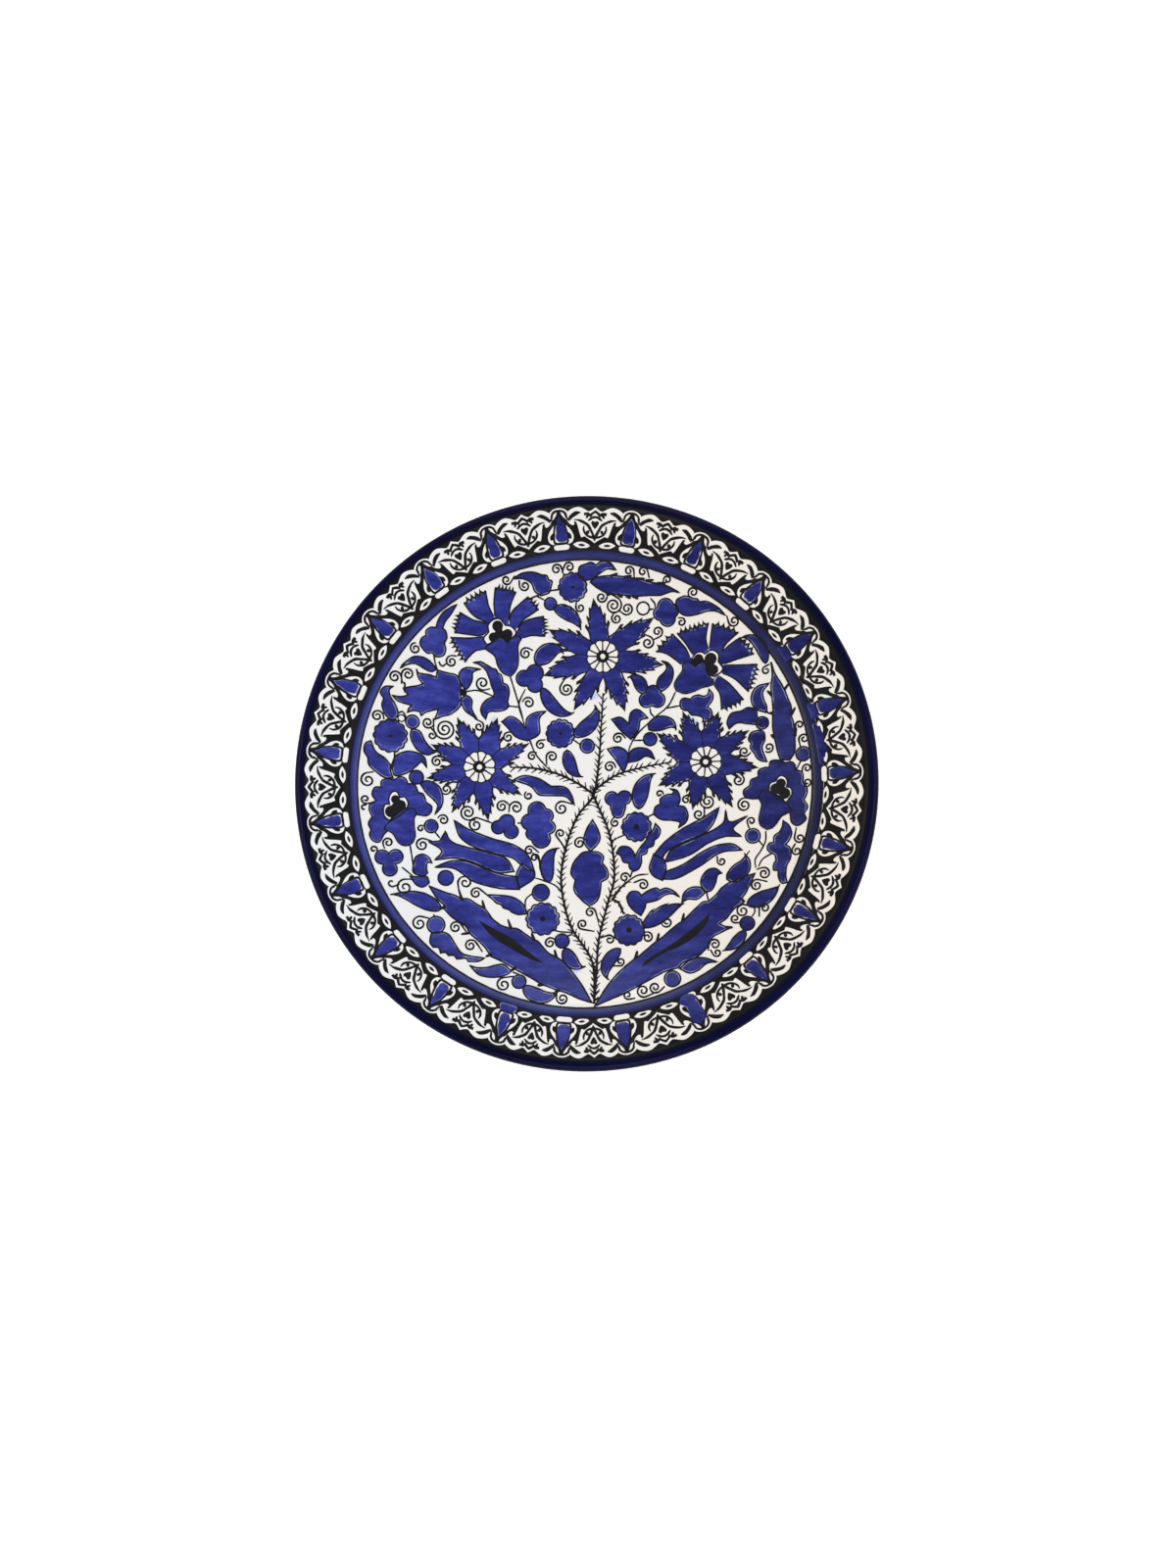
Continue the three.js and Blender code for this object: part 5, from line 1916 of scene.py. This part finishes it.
# thin spirals that fill the white ground: where each leaves, the middle of its spiral, radius, hand,
# and its number of turns where that is not the usual one
CURLS = [
    # upper left
    ((-33.5, 98), (-37.5, 96), 2, -1), ((-31.5, 96), (-29, 93.5), 2.2, 1),
    ((-10.5, 98), (-14, 101), 2.2, 1), ((-11.5, 99.5), (-8, 102), 2.1, -1),
    ((-4.8, 86.8), (-3, 83.8), 1.9, 1), ((-78.5, 66), (-80, 63.5), 2.4, 1),
    ((-61.2, 60.8), (-63.4, 58.2), 2.5, 1), ((-25.4, 64), (-28.8, 62.6), 2.5, 1),
    ((-86, 47.5), (-89.5, 50), 2.6, 1), ((-86.5, 47), (-83.5, 51.5), 2.6, -1),
    ((-85, 43), (-86, 47), 0.9, 1, 0.2), ((-94.5, 30), (-97.5, 31.5), 2.5, 1),
    ((-45.5, 46), (-49, 48.5), 3, -1), ((-30.5, 38.5), (-27.5, 39.5), 2.6, -1),
    ((-10.2, 51.2), (-9.6, 46), 3, 1, 1.8), ((-71.8, 31.6), (-66.6, 26.6), 4.6, 1, 2.3),
    ((-71.4, 28.6), (-74.4, 29.4), 2.4, -1), ((-52.6, 31.8), (-50.6, 28.2), 2.1, -1),
    ((-35, 25.6), (-37, 23.2), 2.2, 1), ((-19.6, 22), (-21.8, 19.6), 2, 1),
    ((-23.6, 15.8), (-25.8, 14.2), 1.9, 1), ((-66.2, 13), (-70.2, 11.2), 2.3, 1),
    ((-67.8, -3.4), (-65.8, -1.8), 2.3, 1), ((-52, -16.2), (-55.6, -12.6), 3.3, -1, 1.8),
    ((-36.4, -9), (-39.8, -9.6), 2.5, 1), ((-36.6, -12.4), (-33.2, -10.2), 2.9, -1),
    ((-27.4, -2), (-27.4, -4.4), 1.9, 1), ((-69.6, -16.2), (-67, -16.4), 2.4, -1),
    ((-73, 27), (-72.5, 23.5), 1.8, -1), ((-19, 10), (-16.5, 14), 2.4, -1),
    ((-99, 5.2), (-101.6, 1.2), 3.1, 1), ((-98.6, -9.4), (-102.6, -7.8), 1.9, -1),
    ((-102, -10.6), (-103.2, -12), 1.2, 1, 0.6),
    # upper right
    ((10.2, 90.6), (7, 88.4), 2.2, -1), ((10.6, 90.2), (12.6, 84.6), 3.6, -1, 2),
    ((14.8, 82.6), (19, 83), 2.6, 1, 1.8), ((13.2, 81.6), (14, 78.6), 2.2, 1),
    ((26, 71.6), (28.6, 67.2), 2.7, -1), ((31.4, 68.6), (33.2, 72.2), 2.3, 1),
    ((22.5, 96.5), (20, 100), 2, 1), ((29.5, 96.5), (26.5, 99.5), 2, 1),
    ((36, 93.5), (38, 95.5), 1.7, -1), ((48.5, 87), (50, 89.5), 2.2, -1),
    ((42.8, 78.2), (44.4, 76.2), 1.8, -1), ((65.6, 78.2), (69, 75.6), 2.3, 1),
    ((85.4, 55), (83.8, 52.2), 1.7, 1), ((76.4, 14.4), (73.4, 15), 2.2, -1),
    ((71.2, 5), (70.6, 1.6), 2.5, -1), ((76.2, -7.2), (73.2, -10.2), 3, 1, 1.7),
    ((48.2, -4.2), (46.2, -7), 1.6, 1), ((52.4, -6.8), (56.2, -8), 3.1, 1, 1.7),
    ((54.6, -10.2), (52, -14), 2.4, -1), ((35.4, -5), (33.8, -4), 1.6, 1),
    ((18, 22.5), (14.5, 22.5), 2.4, 1), ((13, 8), (10.5, 9), 2.5, 1),
    ((82.8, 15), (84.8, 16.4), 2.2, 1), ((100, 4.2), (102.2, 5.6), 1.9, -1),
    ((100.4, -2.8), (102.2, -1), 1.8, 1), ((99.5, 15), (101, 19.5), 2.2, -1),
    ((97.5, 24), (99, 26), 1.8, -1),
    # lower left
    ((-75.4, -19.6), (-77.2, -20.8), 1.4, 1), ((-71, -27), (-76.5, -28.5), 2.8, 1),
    ((-93.5, -31), (-92, -28), 2.2, -1), ((-97, -33), (-98.5, -31.5), 1.5, 1),
    ((-79.5, -45), (-84, -49), 3.5, 1), ((-86.5, -47.5), (-90, -47), 1.8, -1, 0.7),
    ((-44.5, -17.5), (-52, -18.5), 3.1, 1), ((-7, -8.5), (-12, -10.5), 3, 1),
    ((-59, -51.5), (-56.5, -46), 3.1, -1), ((-45.5, -52.5), (-51.5, -51), 2.4, 1),
    ((-22.5, -31.5), (-27, -30.5), 2, 1), ((-22, -36.5), (-24.5, -34), 1.8, 1),
    ((-9.5, -30.5), (-12.5, -22.5), 2, -1), ((0.5, -26.5), (-3.5, -27), 2.5, 1),
    ((-72.5, -63.5), (-77, -66), 3.1, 1), ((-55, -70.5), (-60.5, -67.5), 2.6, 1),
    ((-48, -79), (-53.5, -76), 2.6, 1), ((-33.5, -90.5), (-38, -94.5), 3, 1),
    ((-13.5, -98.5), (-11, -101), 2.5, 1), ((-14, -74), (-17, -74.5), 2.4, 1),
    # lower right
    ((12.5, -15), (13, -17.5), 1.8, 1), ((75.4, -21.4), (76.4, -18), 1.8, -1),
    ((97, -22), (98.5, -27), 2.2, 1), ((96.5, -29.5), (97, -33), 2, 1),
    ((60.5, -34), (62.5, -36.5), 1.8, 1), ((78.5, -41), (82, -43), 2.6, -1),
    ((83.5, -47), (78.5, -48.5), 2.5, 1), ((20, -44.5), (17.5, -43.5), 2.2, 1),
    ((21.5, -46), (26, -47), 2.3, -1), ((77.5, -59), (72, -60.5), 2.8, 1),
    ((71.5, -66), (68.5, -64), 1.9, -1), ((79.5, -63.5), (82, -59.5), 2.2, -1),
    ((35, -65), (37, -65), 2.3, 1), ((26, -70), (28, -72), 2.4, -1), ((5, -72.5), (10.5, -73), 2, -1),
    ((12, -85.5), (15.5, -83.5), 1.8, 1), ((56, -79), (59, -76), 2.4, -1),
    ((57, -78.5), (60, -80), 1.8, 1), ((36, -95.5), (31.5, -96), 2.5, -1),
    ((32.5, -98), (26, -97.5), 2.8, -1), ((22.5, -101), (19, -99.5), 1.8, -1),
    ((5.5, -65), (1.5, -60), 2.2, 1), ((3.5, -69), (-2, -65.5), 2.2, -1),
]
for placed in CURLS:
    curl(*placed)

ink.piece("picture_outlines", INK, [], "black_print")
tendrils.piece("tendrils", INK, [], "black_print")
# painted highlights, laid as pale blue marks on the white glaze
painted_highlights.piece("painted_highlight_marks", HIGHLIGHT_GLAZE, [], "cream_glaze")
white.piece("bare_patches", PRINT_WHITE, [], "cream_glaze")
leaves.piece("small_leaves", COBALT, [], "cobalt_enamel")
berries.piece("berries_and_rosettes", COBALT, [], "cobalt_enamel")
blossoms.piece("small_blossoms", COBALT, [], "cobalt_enamel")

# ------------------------------------------------------------------ studio


FLOOR_HALF = 15.0                            # metres, wide enough for a low view
FLOOR_DROP = 0.0002                          # metres below the foot ring
BOX_SIZE = (0.9, 0.7)                        # metres
BOX_DISTANCE = 1.3
BOXES = (                                    # name, azimuth, elevation, watts, colour
    ("soft_left", 180, 36, 7.8, (0.97, 0.985, 1.0)),
    ("soft_right", 0, 36, 6.6, (1.0, 0.98, 0.95)),
    ("soft_back", 90, 34, 6.8, (1, 1, 1)),
    ("soft_front", 270, 34, 6.8, (1, 1, 1)),
)


def make_floor():
    """Plain pale floor that glows a little, so that it stays white in the soft light."""
    look = Look("pale_floor")
    colour = look.ramp(look.noise(3), [(0.3, srgb(250, 250, 250)), (0.7, srgb(253, 252, 251))])
    material = look.finish(colour, 0.9, specular=0.1)
    look.link(colour, look.shader.inputs["Emission Color"])
    look.shader.inputs["Emission Strength"].default_value = 0.35
    signs = ((-1, -1), (1, -1), (1, 1), (-1, 1))
    corners = [(x * FLOOR_HALF, y * FLOOR_HALF, 0) for x, y in signs]
    floor = mesh_object("floor", corners, [(0, 1, 2, 3)], material, smooth=False)
    floor.location.z = -FLOOR_DROP


def softbox(name, azimuth, elevation, power, colour):
    """Area light aimed at the plate. Azimuth is measured anticlockwise from +X, in degrees."""
    turn, rise = math.radians(azimuth), math.radians(elevation)
    flat = math.cos(rise)
    direction = Vector((flat * math.cos(turn), flat * math.sin(turn), math.sin(rise)))
    data = bpy.data.lights.new(name, "AREA")
    data.shape = "RECTANGLE"
    data.size, data.size_y = BOX_SIZE
    data.energy = power
    data.color = colour
    light = bpy.data.objects.new(name, data)
    light.location = LOOK_AT + direction * BOX_DISTANCE
    light.rotation_euler = direction.to_track_quat("Z", "Y").to_euler()
    bpy.context.scene.collection.objects.link(light)


def light_studio():
    """Four soft boxes and a faint white sky."""
    for box in BOXES:
        softbox(*box)
    world = bpy.data.worlds.new("studio")
    world.use_nodes = True
    background = next(node for node in world.node_tree.nodes if node.type == "BACKGROUND")
    background.inputs["Color"].default_value = (1, 1, 1, 1)
    background.inputs["Strength"].default_value = 0.25
    bpy.context.scene.world = world
    bpy.context.scene.view_settings.view_transform = "Standard"


make_floor()
light_studio()

bpy.context.view_layer.update()
